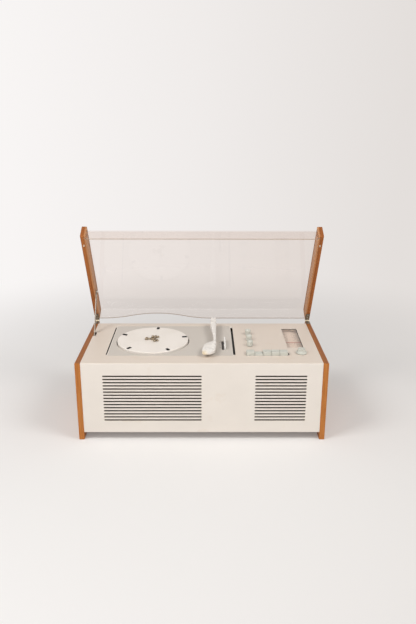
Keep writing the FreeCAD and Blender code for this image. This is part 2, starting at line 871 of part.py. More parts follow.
cloth_z = ("slot_bottom - cloth_border", "slot_bottom + slot_field + cloth_border")
left_x = ("left_slot_margin - half_in - cloth_border",
          "left_slot_margin - half_in + left_slot_length + cloth_border")
right_x = ("half_in - right_slot_margin - right_slot_length - cloth_border",
           "half_in - right_slot_margin + cloth_border")
cloth_y = ("inner_y", "inner_y + cloth")
piece(group("grille_cloths", box("left_cloth", left_x, cloth_y, cloth_z),
            box("right_cloth", right_x, cloth_y, cloth_z)), "grille_cloths")
speaker_x = "left_slot_margin - half_in + left_slot_length / 2"
speaker_z = "slot_bottom + slot_field / 2"
baffle_y = ("inner_y + cloth", "inner_y + cloth + baffle")
board = box("baffle_board", left_x, baffle_y, cloth_z)
baffle_hole = rod("baffle_hole", "speaker_opening - baffle_lip", speaker_x,
                  ("inner_y", "inner_y + cloth + baffle + overcut"), speaker_z)
piece(cut("speaker_board", board, baffle_hole), "speaker_board")
cone = turned(
    "cone",
    ("0", "speaker_depth * 0.72"),
    ("coil_radius", "speaker_depth * 0.76"),
    ("speaker_opening - cone_roll", "0"),
    ("speaker_radius", "0"),
    ("speaker_radius", "cone_paper"),
    ("speaker_opening - cone_roll / 2", "cone_paper"),
    ("coil_radius + coil_gap", "speaker_depth * 0.8"),
    ("0", "speaker_depth * 0.76"),
)
basket = turned(
    "basket",
    ("coil_radius", "speaker_depth - basket_sheet"),
    ("magnet_radius - basket_lap", "speaker_depth - basket_sheet"),
    ("speaker_opening", "cone_paper"),
    ("speaker_radius", "cone_paper"),
    ("speaker_radius", "cone_paper + basket_sheet"),
    ("speaker_opening + basket_step", "cone_paper + basket_sheet"),
    ("magnet_radius - basket_lap + basket_step", "speaker_depth"),
    ("coil_radius", "speaker_depth"),
)
for lathe, label in ((cone, "speaker_cone"), (basket, "speaker_basket")):
    lathe.Placement = Placement(Vector(), Rotation(ALONG_X, -90))
    piece(put(lathe, speaker_x, baffle_y[1], speaker_z), label)
magnet_y = (f"{baffle_y[1]} + speaker_depth", f"{baffle_y[1]} + speaker_depth + magnet_length")
piece(rod("magnet", "magnet_radius", speaker_x, magnet_y, speaker_z), "speaker_magnet")

# Hinges, drawn with the lid shut about the hinge axis

leaf_half = "cheek_thick / 2 - leaf_margin"
knuckle = "(cheek_thick - 2 * leaf_margin - 2 * knuckle_gap) / 3"
base_leaves = []
lid_leaves = []
for label, side in SIDES:
    middle = f"{side} * (half_in + cheek_thick / 2)"
    leaf_x = (f"{middle} - ({leaf_half})", f"{middle} + {leaf_half}")
    low_z = ("-lid_low", "leaf_thick - lid_low")
    high_z = ("lid_low - leaf_thick", "lid_low")
    leaf_y = ("-lid_rear - leaf_length", "-lid_rear")
    outer = []
    for end in (-1, 1):
        near = f"{middle} + {end} * ({knuckle} / 2 + knuckle_gap)"
        far = f"{middle} + {end} * ({leaf_half})"
        knuckle_x = (far, near) if end < 0 else (near, far)
        outer.append(rod(f"{label}_base_knuckle", "knuckle_radius", knuckle_x, "0", "0"))
        outer.append(box(f"{label}_base_tongue", knuckle_x, ("-lid_rear", "0"), low_z))
    plate = box(f"{label}_base_plate", leaf_x, leaf_y, low_z)
    bores = [rod(f"{label}_base_bore", "pin_radius + running_fit", leaf_x, "0", "0")]
    inner_x = (f"{middle} - {knuckle} / 2", f"{middle} + {knuckle} / 2")
    inner = [rod(f"{label}_lid_knuckle", "knuckle_radius", inner_x, "0", "0"),
             box(f"{label}_lid_tongue", inner_x, ("-lid_rear", "0"), high_z)]
    upper = box(f"{label}_lid_plate", leaf_x, leaf_y, high_z)
    lid_bores = [rod(f"{label}_lid_bore", "pin_radius + running_fit", leaf_x, "0", "0")]
    for back in LEAF_SCREWS:
        y = f"-lid_rear - {back}"
        bores.append(rod(f"{label}_base_hole", "screw_head_radius * 0.7 + running_fit", middle, y,
                         ("leaf_thick / 2 - lid_low", "leaf_thick - lid_low + overcut")))
        bores.append(rod(f"{label}_base_way", "screw_radius + running_fit", middle, y,
                         ("-lid_low - overcut", "leaf_thick - lid_low + overcut")))
        lid_bores.append(rod(f"{label}_lid_hole", "screw_head_radius * 0.7 + running_fit", middle, y,
                             ("lid_low - leaf_thick - overcut", "lid_low - leaf_thick / 2")))
        lid_bores.append(rod(f"{label}_lid_way", "screw_radius + running_fit", middle, y,
                             ("lid_low - leaf_thick - overcut", "lid_low + overcut")))
    base_leaves.append(cut(f"{label}_base_leaf", fuse(f"{label}_base_blank", plate, *outer), *bores))
    base_leaves.append(rod(f"{label}_hinge_pin", "pin_radius", leaf_x, "0", "0"))
    lid_leaves.append(cut(f"{label}_lid_leaf", fuse(f"{label}_lid_blank", upper, *inner), *lid_bores))
piece(put(group("hinge_base_leaves", *base_leaves), "0", "hinge_y", "hinge_z"), "hinge_base_leaves")
lid_piece(group("hinge_lid_leaves", *lid_leaves), "hinge_lid_leaves")

# Lid, drawn shut about the hinge axis


def channel(name, slack, x):
    """The bent clear cover's section, or the groove that takes it, run along X."""
    owner = body(name)
    front = f"cover_inset - lid_front - {slack}"
    back = f"-lid_rear - cover_inset + {slack}"
    top = f"lid_top - cover_drop + {slack}"
    wall = f"(cover_thick + 2 * {slack})"
    corners = [
        (front, "lid_low"),
        (f"{front} + {wall}", "lid_low"),
        (f"{front} + {wall}", f"{top} - {wall}"),
        (f"{back} - {wall}", f"{top} - {wall}"),
        (f"{back} - {wall}", "lid_low"),
        (back, "lid_low"),
        (back, top),
        (front, top),
    ]
    pad(owner, outline(owner, "YZ", x[0], corners), f"({x[1]}) - ({x[0]})")
    top_now = size(top)
    soften(owner, f"cover_bend + {slack}",
           lambda edge: runs_along(edge, ALONG_X) and abs(edge.Vertexes[0].Z - top_now) < TOUCH)
    under_now = size(f"{top} - {wall}")
    walls_now = [size(f"{front} + {wall}"), size(f"{back} - {wall}")]
    soften(owner, f"cover_bend - cover_thick - {slack}",
           lambda edge: runs_along(edge, ALONG_X) and abs(edge.Vertexes[0].Z - under_now) < TOUCH
           and min(abs(edge.Vertexes[0].Y - y) for y in walls_now) < TOUCH)
    return owner


def wave():
    """The clearance arch in the cover's back wall, of four equal arcs."""
    half = size("wave_width / 2")
    rise = size("wave_height")
    low = size("lid_low - cover_hem")
    middle = size("platter_x")
    radius = ((half / 2) ** 2 + (rise / 2) ** 2) / rise
    lean = math.asin(half / 2 / radius) / 2
    reach = radius * math.sin(lean)
    sag = radius * (1 - math.cos(lean))

    def at(x, z):
        return Vector(middle + x, size("-lid_rear - cover_inset - cover_thick - overcut"), low + z)

    arcs = []
    for side in (-1, 1):
        turn = at(side * half / 2, rise / 2)
        arcs.append(Part.Arc(at(side * half, 0), at(side * (half - reach), sag), turn))
        arcs.append(Part.Arc(turn, at(side * reach, rise - sag), at(0, rise)))
    edges = [arc.toShape() for arc in arcs]
    skirt = [at(-half, 0), at(-half, -rise), at(half, -rise), at(half, 0)]
    edges += [Part.LineSegment(a, b).toShape() for a, b in zip(skirt, skirt[1:])]
    face = Part.Face(Part.Wire(Part.__sortEdges__(edges)))
    tool = doc.addObject("Part::Feature", "wave_tool")
    tool.Shape = face.extrude(Vector(0, size("cover_thick + 2 * overcut"), 0))
    return tool


cover_x = ("groove_slack - half_in - groove_depth", "half_in + groove_depth - groove_slack")
cover = channel("cover", "0", cover_x)
hems = []
for y in ("cover_inset - lid_front", "-lid_rear - cover_inset - cover_thick"):
    hems.append(box("cover_hem", ("hem_gap - half_in", "half_in - hem_gap"), (y, f"{y} + cover_thick"),
                    ("lid_low - cover_hem", "lid_low")))
lid_piece(cut("lid_cover", fuse("cover_blank", cover, *hems), wave()), "lid_cover")

buffers = []
for label, side in SIDES:
    middle = f"{side} * (half_in + cheek_thick / 2)"
    cheek_x = span(side, "half_in", "case_width / 2")
    board = plank(f"{label}_lid_plank", cheek_x, ("-lid_front", "-lid_rear"), ("lid_low", "lid_top"))
    groove_x = span(side, "half_in - overcut", "half_in + groove_depth")
    tools = [channel(f"{label}_groove", "groove_slack", groove_x)]
    for back in LEAF_SCREWS:
        y = f"-lid_rear - {back}"
        top = "lid_low + screw_grip"
        tools.append(rod(f"{label}_lid_screw_hole", "screw_radius + running_fit", middle, y,
                         ("lid_low - overcut", top)))
        shank = rod(f"{label}_lid_shank", "screw_radius", middle, y,
                    ("lid_low - leaf_thick", f"{top} - screw_tip_gap"))
        head = rod(f"{label}_lid_head", "screw_head_radius * 0.7", middle, y,
                   ("lid_low - leaf_thick", "lid_low - leaf_thick / 2"))
        lid_screws.append(fuse(f"{label}_lid_screw", shank, head))
    y = "buffer_margin - lid_front"
    top = "buffer_slack - lid_low + buffer_length"
    tools.append(rod(f"{label}_buffer_hole", "buffer_radius + running_fit", middle, y, ("0", top)))
    buffers.append(rod(f"{label}_buffer", "buffer_radius", middle, y, ("buffer_slack - lid_low", top)))
    if side < 0:
        grip = ("-half_in - stay_bolt_grip", "-half_in + overcut")
        tools.append(rod("stay_bolt_hole", "stay_bolt_radius + running_fit", grip,
                         "-stay_reach", "stay_rise"))
    lid_piece(cut(f"lid_{label}_cheek", board, *tools), f"lid_{label}_cheek")
lid_piece(group("lid_buffers", *buffers), "lid_buffers")

# Lid stay, drawn hanging straight down from its pivot

bar_x = ("stay_play - half_in", "stay_play + stay_thick - half_in")
bolt = rod("stay_bolt", "stay_bolt_radius",
           ("screw_tip_gap - half_in - stay_bolt_grip", f"{bar_x[1]} + hole_slack"),
           "-stay_reach", "stay_rise")
bolt_head = rod("stay_bolt_head", "stay_head_radius",
                (f"{bar_x[1]} + hole_slack", f"{bar_x[1]} + hole_slack + stay_head"),
                "-stay_reach", "stay_rise")
lid_screws.append(fuse("stay_screw", bolt, bolt_head))
lid_piece(group("lid_screws", *lid_screws), "lid_screws")
pin_z = "-stay_span - stay_pin_drop"
end_z = "-stay_span - stay_pin_drop - stay_tail"
bar = fuse(
    "stay_bar",
    rod("stay_eye", "stay_width / 2", bar_x, "0", "0"),
    box("stay_flat", bar_x, ("-stay_width / 2", "stay_width / 2"), (end_z, "0")),
    rod("stay_end", "stay_width / 2", bar_x, "0", end_z),
    rod("stay_pin", "stay_pin_radius", (bar_x[0], f"{bar_x[1]} + stay_pin_length"), "0", pin_z),
)
stay = cut("lid_stay", bar, rod("stay_bore", "stay_bolt_radius + running_fit",
                                ("-half_in", f"{bar_x[1]} + overcut"), "0", "0"))
tilted(stay, "lid_stay", "pivot_y", "pivot_z", "stay_lean")

# Record player plate with its drawn well, on sprung rails

plate = body("plate")
left = "cut_left + plate_gap"
right = "cut_right - plate_gap"
front = "cut_front + plate_gap"
back = "cut_back - plate_gap"
notch_low = "cut_mid - notch_shift - notch_length / 2"
notch_high = "cut_mid - notch_shift + notch_length / 2"
corners = [
    (left, front), (right, front), (right, notch_low), ("cut_right - right_notch", notch_low),
    ("cut_right - right_notch", notch_high), (right, notch_high), (right, back), (left, back),
    (left, notch_high), ("cut_left + left_notch", notch_high), ("cut_left + left_notch", notch_low),
    (left, notch_low),
]
pad(plate, outline(plate, "XY", "plate_low", corners), "plate_thick")


def at_plate_corner(edge):
    point = edge.Vertexes[0].Point
    x_gap = min(abs(point.x - size(name)) for name in (left, right))
    y_gap = min(abs(point.y - size(name)) for name in (front, back))
    return runs_along(edge, ALONG_Z) and max(x_gap, y_gap) < TOUCH


soften(plate, "plate_corner - plate_gap", at_plate_corner)
pad(plate, outline(plate, "XY", "well_low", ("platter_x", "platter_y", "well_radius + plate_thick")),
    "well_depth")
pocket(plate, outline(plate, "XY", "deck_top", ("platter_x", "platter_y", "well_radius")), "well_depth")
lever_y = ("cut_front + lever_front", "cut_front + lever_front + lever_slot_length")
plate_holes = [
    ("platter_x", "platter_y", "bearing_radius + hole_slack"),
    ("motor_x", "motor_y", "pulley_hole"),
    ("idler_x", "idler_y", "axle_radius + running_fit"),
    ("arm_x", "arm_y", "pillar_radius + hole_slack"),
    rect("lever_x", "lever_x + lever_slot_width", *lever_y),
]
pocket(plate, outline(plate, "XY", "deck_top", *plate_holes), "well_depth + plate_thick + overcut")
piece(plate, "turntable_plate")

rails = []
bushes = []
for label, edge_x, inward in (("left", "cut_left", 1), ("right", "cut_right", -1)):
    rail_y = ("cut_front + rail_end", "cut_back - rail_end")

    def across(near, far):
        """A pair of X formulas measured inwards from the opening's edge, low end first."""
        ends = (f"{edge_x} + {inward} * ({near})", f"{edge_x} + {inward} * ({far})")
        return ends[::inward]

    shelf_z = ("rail_top - sheet", "rail_top")
    rail = fuse(
        f"{label}_rail_blank",
        box(f"{label}_rail_lip", across("-rail_width", "-sheet"), rail_y, ("deck_low - sheet", "deck_low")),
        box(f"{label}_rail_web", across("-sheet * 2", "-sheet"), rail_y, ("rail_top - sheet", "deck_low")),
        box(f"{label}_rail_shelf", across("-sheet * 2", f"{label}_notch + rail_overlap"), rail_y, shelf_z),
    )
    holes = []
    for y in ("cut_front + bush_inset", "cut_back - bush_inset"):
        x = f"{edge_x} + {inward} * ({label}_notch + bush_reach)"
        holes.append(rod(f"{label}_rail_hole", "screw_radius + hole_slack", x, y,
                         ("rail_top - sheet - overcut", "rail_top + overcut")))
        ring = rod(f"{label}_bush_ring", "bush_radius", x, y, ("rail_top", "plate_low"))
        bore = rod(f"{label}_bush_bore", "screw_radius + hole_slack", x, y,
                   ("rail_top - overcut", "plate_low + overcut"))
        bushes.append(cut(f"{label}_bush", ring, bore))
        stud = rod(f"{label}_stud", "screw_radius", x, y, ("rail_top - sheet - stud_tail", "plate_low"))
        nut = rod(f"{label}_nut", "screw_head_radius", x, y,
                  ("rail_top - sheet - screw_head", "rail_top - sheet"))
        case_screws.append(fuse(f"{label}_plate_stud", stud, nut))
    well_way = rod(f"{label}_rail_relief", "well_radius + plate_thick + rail_relief",
                   "platter_x", "platter_y", ("rail_top - sheet - overcut", "rail_top + overcut"))
    rails.append(cut(f"{label}_rail", rail, well_way, *holes))
piece(group("plate_rails", *rails), "plate_rails")
piece(group("case_screws", *case_screws), "case_screws")

# Platter, pads, spindle and star adaptor

deep = "(platter_rise + well_depth - skirt_clear)"
platter = turned(
    "platter_blank",
    ("journal_radius + running_fit", "0"),
    ("platter_radius - platter_edge", "0"),
    ("platter_radius", "-platter_edge"),
    ("platter_radius", "-platter_rim"),
    ("platter_radius - rim_wall", "-platter_rim"),
    ("platter_radius - rim_wall", "-platter_disc"),
    ("skirt_radius", "-platter_disc"),
    ("skirt_radius", f"-{deep}"),
    ("skirt_inner", f"-{deep}"),
    ("skirt_inner", "-platter_disc"),
    ("hub_radius", "-platter_disc"),
    ("hub_radius", "-platter_disc * 2"),
    ("journal_radius + running_fit", "-platter_disc * 2"),
)
put(platter, "platter_x", "platter_y", "platter_top")
pads = []
pad_nests = []
for number in range(SIZES["pad_count"]):
    angle = f"(pad_turn + {number} * 360 / pad_count)"
    for name, slack, found, top in (("pad", "0", pads, "pad_rise"),
                                    ("pad_nest", "running_fit", pad_nests, "overcut")):
        block = doc.addObject("Part::Box", f"platter_{name}")
        block.setExpression("Length", bind(f"pad_length + 2 * {slack}"))
        block.setExpression("Width", bind(f"pad_width + 2 * {slack}"))
        block.setExpression("Height", bind(f"pad_sink + {top}"))
        block.Placement = Placement(Vector(), Rotation(ALONG_Z, 1))
        block.setExpression("Placement.Rotation.Angle", bind(angle))
        inner = f"(pad_circle - pad_length / 2 - {slack})"
        aside = f"(pad_width / 2 + {slack})"
        put(block,
            f"platter_x + {inner} * cos{angle} + {aside} * sin{angle}",
            f"platter_y + {inner} * sin{angle} - {aside} * cos{angle}",
            "platter_top - pad_sink")
        found.append(block)
piece(cut("platter_disc", platter, *pad_nests), "platter")
piece(group("platter_pads", *pads), "platter_pads")

spindle = turned(
    "spindle",
    ("0", "spindle_rise"),
    ("spindle_radius - spindle_tip", "spindle_rise"),
    ("spindle_radius", "spindle_rise - spindle_tip"),
    ("spindle_radius", "star_hub_rise"),
    ("spindle_waist", "star_hub_rise"),
    ("spindle_waist", "0"),
    ("journal_radius", "0"),
    ("journal_radius", "-platter_rise - well_depth - bearing_bore_depth + hole_slack"),
    ("0", "-platter_rise - well_depth - bearing_bore_depth + hole_slack"),
)
piece(put(spindle, "platter_x", "platter_y", "platter_top"), "spindle")
bearing_rise = "(platter_rise + well_depth - platter_disc * 2 - hole_slack)"
bearing = turned(
    "bearing",
    ("journal_radius + running_fit", bearing_rise),
    ("bearing_radius", bearing_rise),
    ("bearing_radius", "-plate_thick"),
    ("bearing_flange", "-plate_thick"),
    ("bearing_flange", "-plate_thick * 2"),
    ("bearing_radius", "-plate_thick * 2"),
    ("bearing_radius", "-bearing_bore_depth - plate_thick"),
    ("0", "-bearing_bore_depth - plate_thick"),
    ("0", "-bearing_bore_depth"),
    ("journal_radius + running_fit", "-bearing_bore_depth"),
)
piece(put(bearing, "platter_x", "platter_y", "well_floor"), "bearing_housing")

star_low = "platter_top"
star_high = "platter_top + star_hub_rise"
arms = [rod("star_hub", "star_hub_radius", "platter_x", "platter_y", (star_low, star_high))]
for angle in (60, 180, 300):
    for name, near, far, width in (("star_limb", "0", "star_radius", "star_arm"),
                                   ("star_foot", "star_radius - star_foot", "star_radius", "star_end")):
        limb = doc.addObject("Part::Box", name)
        limb.setExpression("Length", bind(f"{far} - ({near})"))
        limb.setExpression("Width", bind(width))
        limb.setExpression("Height", bind("star_rise"))
        limb.Placement = Placement(Vector(), Rotation(ALONG_Z, angle))
        put(limb, f"platter_x + ({near}) * cos({angle}) + {width} / 2 * sin({angle})",
            f"platter_y + ({near}) * sin({angle}) - {width} / 2 * cos({angle})", star_low)
        arms.append(limb)
star_bore = rod("star_bore", "spindle_radius + running_fit", "platter_x", "platter_y",
                (f"{star_low} - overcut", f"{star_high} + overcut"))
piece(cut("star", fuse("star_blank", *arms), star_bore), "single_adaptor")

# Motor, pulley and idler wheel

idler_z = "well_floor + idler_height"
idler = turned(
    "idler",
    ("0", "idler_thick"),
    ("axle_radius * 2", "idler_thick"),
    ("axle_radius * 2", "idler_thick * 0.8"),
    ("idler_radius - idler_tyre - idler_step", "idler_thick * 0.8"),
    ("idler_radius - idler_tyre", "idler_thick"),
    ("idler_radius", "idler_thick"),
    ("idler_radius", "0"),
    ("idler_radius - idler_tyre", "0"),
    ("idler_radius - idler_tyre - idler_step", "idler_thick * 0.2"),
    ("axle_radius * 2", "idler_thick * 0.2"),
    ("axle_radius * 2", "hole_slack - idler_height"),
    ("axle_radius", "hole_slack - idler_height"),
    ("axle_radius", "-idler_height - plate_thick * 2"),
    ("0", "-idler_height - plate_thick * 2"),
)
piece(put(idler, "idler_x", "idler_y", idler_z), "idler_wheel")
steps = [("0", f"{idler_z} + idler_thick * 2")]
# speed of each pulley step, with its ends as shares of the idler's thickness
for speed, low, high in (("16.67", "1.2", "2"), ("playing_speed", "-0.2", "1.2"),
                         ("45", "-1", "-0.2"), ("78", "-1.8", "-1")):
    ring = f"skirt_inner * {speed} / motor_speed"
    steps.append((ring, f"{idler_z} + idler_thick * {high}"))
    steps.append((ring, f"{idler_z} + idler_thick * ({low})"))
shaft_low = "motor_top - shaft_length + motor_gap"
steps += [("axle_radius", f"{idler_z} - idler_thick * 1.8"), ("axle_radius", shaft_low), ("0", shaft_low)]
piece(put(turned("pulley", *steps), "motor_x", "motor_y", "0"), "motor_pulley")

stack_top = "motor_top - motor_cover"
stack = box("motor_stack_block", ("motor_x - motor_length / 2", "motor_x + motor_length / 2"),
            ("motor_y - motor_width / 2", "motor_y + motor_width / 2"),
            (f"{stack_top} - motor_stack", stack_top))
drum = rod("motor_covers", "motor_cover_radius", "motor_x", "motor_y",
           (f"{stack_top} - motor_stack - motor_cover", stack_top))
yoke = box("motor_bridge", ("motor_x - motor_length / 2", "motor_x + motor_length / 2"),
           ("motor_y - motor_bush_radius * 2", "motor_y + motor_bush_radius * 2"), (stack_top, "motor_top"))
shaft_way = rod("motor_way", "axle_radius + running_fit", "motor_x", "motor_y",
                (f"{stack_top} - motor_stack - motor_cover - overcut", "motor_top + overcut"))
piece(cut("motor", fuse("motor_blank", stack, drum, yoke), shaft_way), "drive_motor")
for step in (-1, 1):
    x = f"motor_x + {step} * motor_bush_circle"
    bushes.append(rod("motor_bush", "motor_bush_radius", x, "motor_y", ("motor_top", "well_low")))
piece(group("rubber_mounts", *bushes), "rubber_mounts")

# Speed lever

lever_x = ("lever_x + lever_slot_width - lever_gap - lever_thick", "lever_x + lever_slot_width - lever_gap")
blade = box("lever_blade", lever_x, (f"{lever_y[0]} + lever_gap", f"{lever_y[1]} - lever_gap"),
            ("plate_low - hole_slack - lever_shoe", "deck_top + lever_rise"))
shoe = box("lever_shoe_block", (f"{lever_x[0]} - lever_shoe", f"{lever_x[1]} + lever_shoe"),
           (f"{lever_y[0]} - lever_shoe", f"{lever_y[1]} + lever_shoe"),
           ("plate_low - hole_slack - lever_shoe", "plate_low - hole_slack"))
piece(fuse("lever", blade, shoe), "speed_lever")

# Tonearm on its pillar and yoke


def section(owner, back_by, width, shift, low, high):
    """A cross-section of the arm, some way in front of the pivot."""
    middle = f"arm_x + {shift}"
    sides = (f"{middle} - ({width}) / 2", f"{middle} + ({width}) / 2")
    return outline(owner, "XZ", f"{back_by} - arm_y", rect(*sides, low, high))


def loft(owner, kind, first, last):
    feature = owner.newObject(kind, owner.Name + "_loft")
    feature.Profile = first
    feature.Sections = [last]
    feature.Ruled = True
    doc.recompute()
    return feature


arm = body("arm")
loft(arm, "PartDesign::AdditiveLoft",
     section(arm, "-arm_tail", "arm_width", "0", "arm_low", "deck_top + arm_top"),
     section(arm, "neck_reach", "neck_width", "neck_shift", "arm_low", "deck_top + neck_top"))


def on_arm_top(edge):
    """The two long upper edges of the arm."""
    ends = [vertex.Point for vertex in edge.Vertexes]
    long = abs(ends[0].y - ends[-1].y) > size("neck_reach")
    return long and min(end.z for end in ends) > size("arm_low + overcut")


soften(arm, "arm_round", on_arm_top)
loft(arm, "PartDesign::SubtractiveLoft",
     section(arm, "arm_wall - arm_tail", "arm_width - 2 * arm_wall", "0",
             "arm_low", "deck_top + arm_top - arm_wall"),
     section(arm, "neck_reach * 0.4", "(arm_width + neck_width) / 2 - 2 * arm_wall", "neck_shift / 2",
             "arm_low", "deck_top + (arm_top + neck_top) / 2 - arm_wall"))
neck_y = "arm_y - neck_reach"
# shares of the head's width to the left and of its length to the front
HEAD_SHAPE = ((0.6, 0.225), (0.917, 0.563), (1, 0.817), (0.867, 0.93), (0.533, 1),
              (0, 0.845), (-0.083, 0.592))
head_points = [("neck_shift + neck_width / 2", "head_lap"),
               ("neck_shift - neck_width / 2", "head_lap * 0.75")]
head_points += [(f"-head_width * {across}", f"-head_length * {along}") for across, along in HEAD_SHAPE]
head = body("head")
pad(head, outline(head, "XY", "arm_low", [(f"arm_x + {x}", f"{neck_y} + {y}") for x, y in head_points]),
    "head_height")
soften(head, "head_round", lambda edge: edge.Vertexes[0].Z > size("arm_low + overcut")
       and edge.Vertexes[-1].Z > size("arm_low + overcut"))
nest_x = "arm_x - head_width * 0.567"
nest_y = f"{neck_y} - head_length * 0.732"


def turned_block(name, slack, low, high):
    """The pickup cartridge's block, or its nest, at the head's offset angle."""
    block = doc.addObject("Part::Box", name)
    block.setExpression("Length", bind(f"cartridge_width + 2 * {slack}"))
    block.setExpression("Width", bind(f"cartridge_length + 2 * {slack}"))
    block.setExpression("Height", bind(f"({high}) - ({low})"))
    block.Placement = Placement(Vector(), Rotation(Vector(0, 0, -1), 1))
    block.setExpression("Placement.Rotation.Angle", bind("cartridge_turn"))
    across = f"(cartridge_width / 2 + {slack})"
    along = f"(cartridge_length / 2 + {slack})"
    return put(block, f"{nest_x} - {across} * cos(cartridge_turn) - {along} * sin(cartridge_turn)",
               f"{nest_y} + {across} * sin(cartridge_turn) - {along} * cos(cartridge_turn)", low)


nest = turned_block("cartridge_nest", "hole_slack", "arm_low - overcut", "arm_low + cartridge_height")
pin_way = rod("arm_pin_way", "pivot_radius + running_fit",
              ("arm_x - arm_width", "arm_x + arm_width"), "arm_y", "deck_top + pivot_height")
piece(cut("arm_shell", fuse("arm_blank", arm, head), nest, pin_way), "tonearm")
stylus = rod("stylus", "pivot_radius / 2", nest_x, nest_y, ("arm_low - stylus_drop", "arm_low + overcut"))
block = turned_block("cartridge_block", "0", "arm_low", "arm_low + cartridge_height")
piece(fuse("cartridge_whole", block, stylus), "cartridge")

post_low = "plate_low - yoke_shaft * 2"
pillar = fuse(
    "pillar_blank",
    rod("pillar_tube", "pillar_radius", "arm_x", "arm_y", (post_low, "deck_top + pillar_rise")),
    rod("pillar_foot", "pillar_flange", "arm_x", "arm_y", (post_low, "plate_low")),
)
pillar_bore = rod("pillar_bore", "yoke_shaft + running_fit", "arm_x", "arm_y",
                  (f"{post_low} + post_floor", "deck_top + pillar_rise + overcut"))
piece(cut("pillar", pillar, pillar_bore), "arm_pillar")
yoke_low = "deck_top + pillar_rise + yoke_gap"
block = box("yoke_block", ("arm_x - yoke_width / 2", "arm_x + yoke_width / 2"),
            ("arm_y - yoke_length / 2", "arm_y + yoke_length / 2"), (yoke_low, "deck_top + yoke_top"))
stem = rod("yoke_stem", "yoke_shaft", "arm_x", "arm_y", (f"{post_low} + post_floor + hole_slack", yoke_low))
pin = rod("arm_pin", "pivot_radius", ("arm_x - arm_width / 2", "arm_x + arm_width / 2"), "arm_y",
          "deck_top + pivot_height")
piece(fuse("yoke", block, stem, pin), "arm_yoke")
piece(rod("rest_post", "rest_radius", "arm_x + neck_shift * 0.7", "arm_y - rest_reach",
          ("deck_top", "arm_low - rest_gap")), "arm_rest")

# Small knobs and their potentiometers

pots = []
for row, (y, label) in enumerate(zip(knob_rows, ("treble_knob", "bass_knob", "volume_knob"))):
    knob = turned(
        f"small_knob_{row}",
        ("0", "knob_lift + knob_height"),
        ("knob_radius * 0.5", "knob_lift + knob_height - knob_dome * 0.2"),
        ("knob_radius * 0.85", "knob_lift + knob_height - knob_dome * 0.6"),
        ("knob_radius", "knob_lift + knob_height - knob_dome"),
        ("knob_radius", "knob_lift"),
        ("knob_shaft", "knob_lift"),
        ("knob_shaft", "-sheet - knob_shaft_depth"),
        ("0", "-sheet - knob_shaft_depth"),
    )
    piece(put(knob, "knob_x", y, "deck_top"), label)
    case = rod("pot_case", "pot_radius", "knob_x", y, ("deck_low - pot_height", "deck_low"))
    bore = rod("pot_bore", "knob_shaft + running_fit", "knob_x", y,
               ("deck_low - knob_shaft_depth - hole_slack", "deck_low + overcut"))
    pots.append(cut("pot", case, bore))
piece(group("control_pots", *pots), "control_pots")

# Push keys and their switch

key_mid = "(cut_front + key_back) / 2"
switch = [
    box("switch_block", ("keys_left", "keys_right"), ("cut_front", "key_back"),
        ("switch_top - switch_height", "switch_top")),
    box("switch_left_post", ("keys_left - key_gap - switch_post", "keys_left - key_gap"),
        ("cut_front", "key_back"), ("switch_top - switch_height", "deck_low")),
    box("switch_right_post", ("keys_right + key_slot_rest", "keys_right + key_slot_rest + switch_post"),
        ("cut_front", "key_back"), ("switch_top - switch_height", "deck_low")),
    box("switch_base", ("keys_left - key_gap - switch_post", "keys_right + key_slot_rest + switch_post"),
        ("cut_front", "key_back"),
        ("switch_top - switch_height - sheet", "switch_top - switch_height + overcut")),
]
ways = []
for number in range(5):
    x = f"keys_left + key_pitch * ({number} + 0.5)"
    drop = "key_travel" if number == 1 else "0"
    cap = body(f"key_cap_{number + 1}")
    half = "(key_pitch - key_gap) / 2"
    low = f"deck_top - key_body - {drop}"
    pad(cap, outline(cap, "XY", low, rect(f"{x} - {half}", f"{x} + {half}", "cut_front + key_gap / 2",
                                          "key_back - key_gap / 2")), "key_body + key_rise")
    top_now = size(f"deck_top + key_rise - {drop}")
    soften(cap, "key_round", lambda edge, top_now=top_now: abs(edge.Vertexes[0].Z - top_now) < TOUCH
           and abs(edge.Vertexes[-1].Z - top_now) < TOUCH)
    stem = box(f"key_stem_{number + 1}", (f"{x} - key_stem / 2", f"{x} + key_stem / 2"),
               (f"{key_mid} - key_stem_thick / 2", f"{key_mid} + key_stem_thick / 2"),
               (f"{low} - key_stem_length", low))
    piece(fuse(f"push_key_{number + 1}", cap, stem), f"push_key_{number + 1}")
    way_x = "(key_stem / 2 + hole_slack)"
    way_y = "(key_stem_thick / 2 + hole_slack)"
    ways.append(box(f"key_way_{number + 1}", (f"{x} - {way_x}", f"{x} + {way_x}"),
                    (f"{key_mid} - {way_y}", f"{key_mid} + {way_y}"),
                    ("switch_top - switch_height - sheet - overcut", "switch_top + overcut")))
piece(cut("switch", fuse("switch_blank", *switch), *ways), "key_switch")

# Dial, pointer and tuning drive

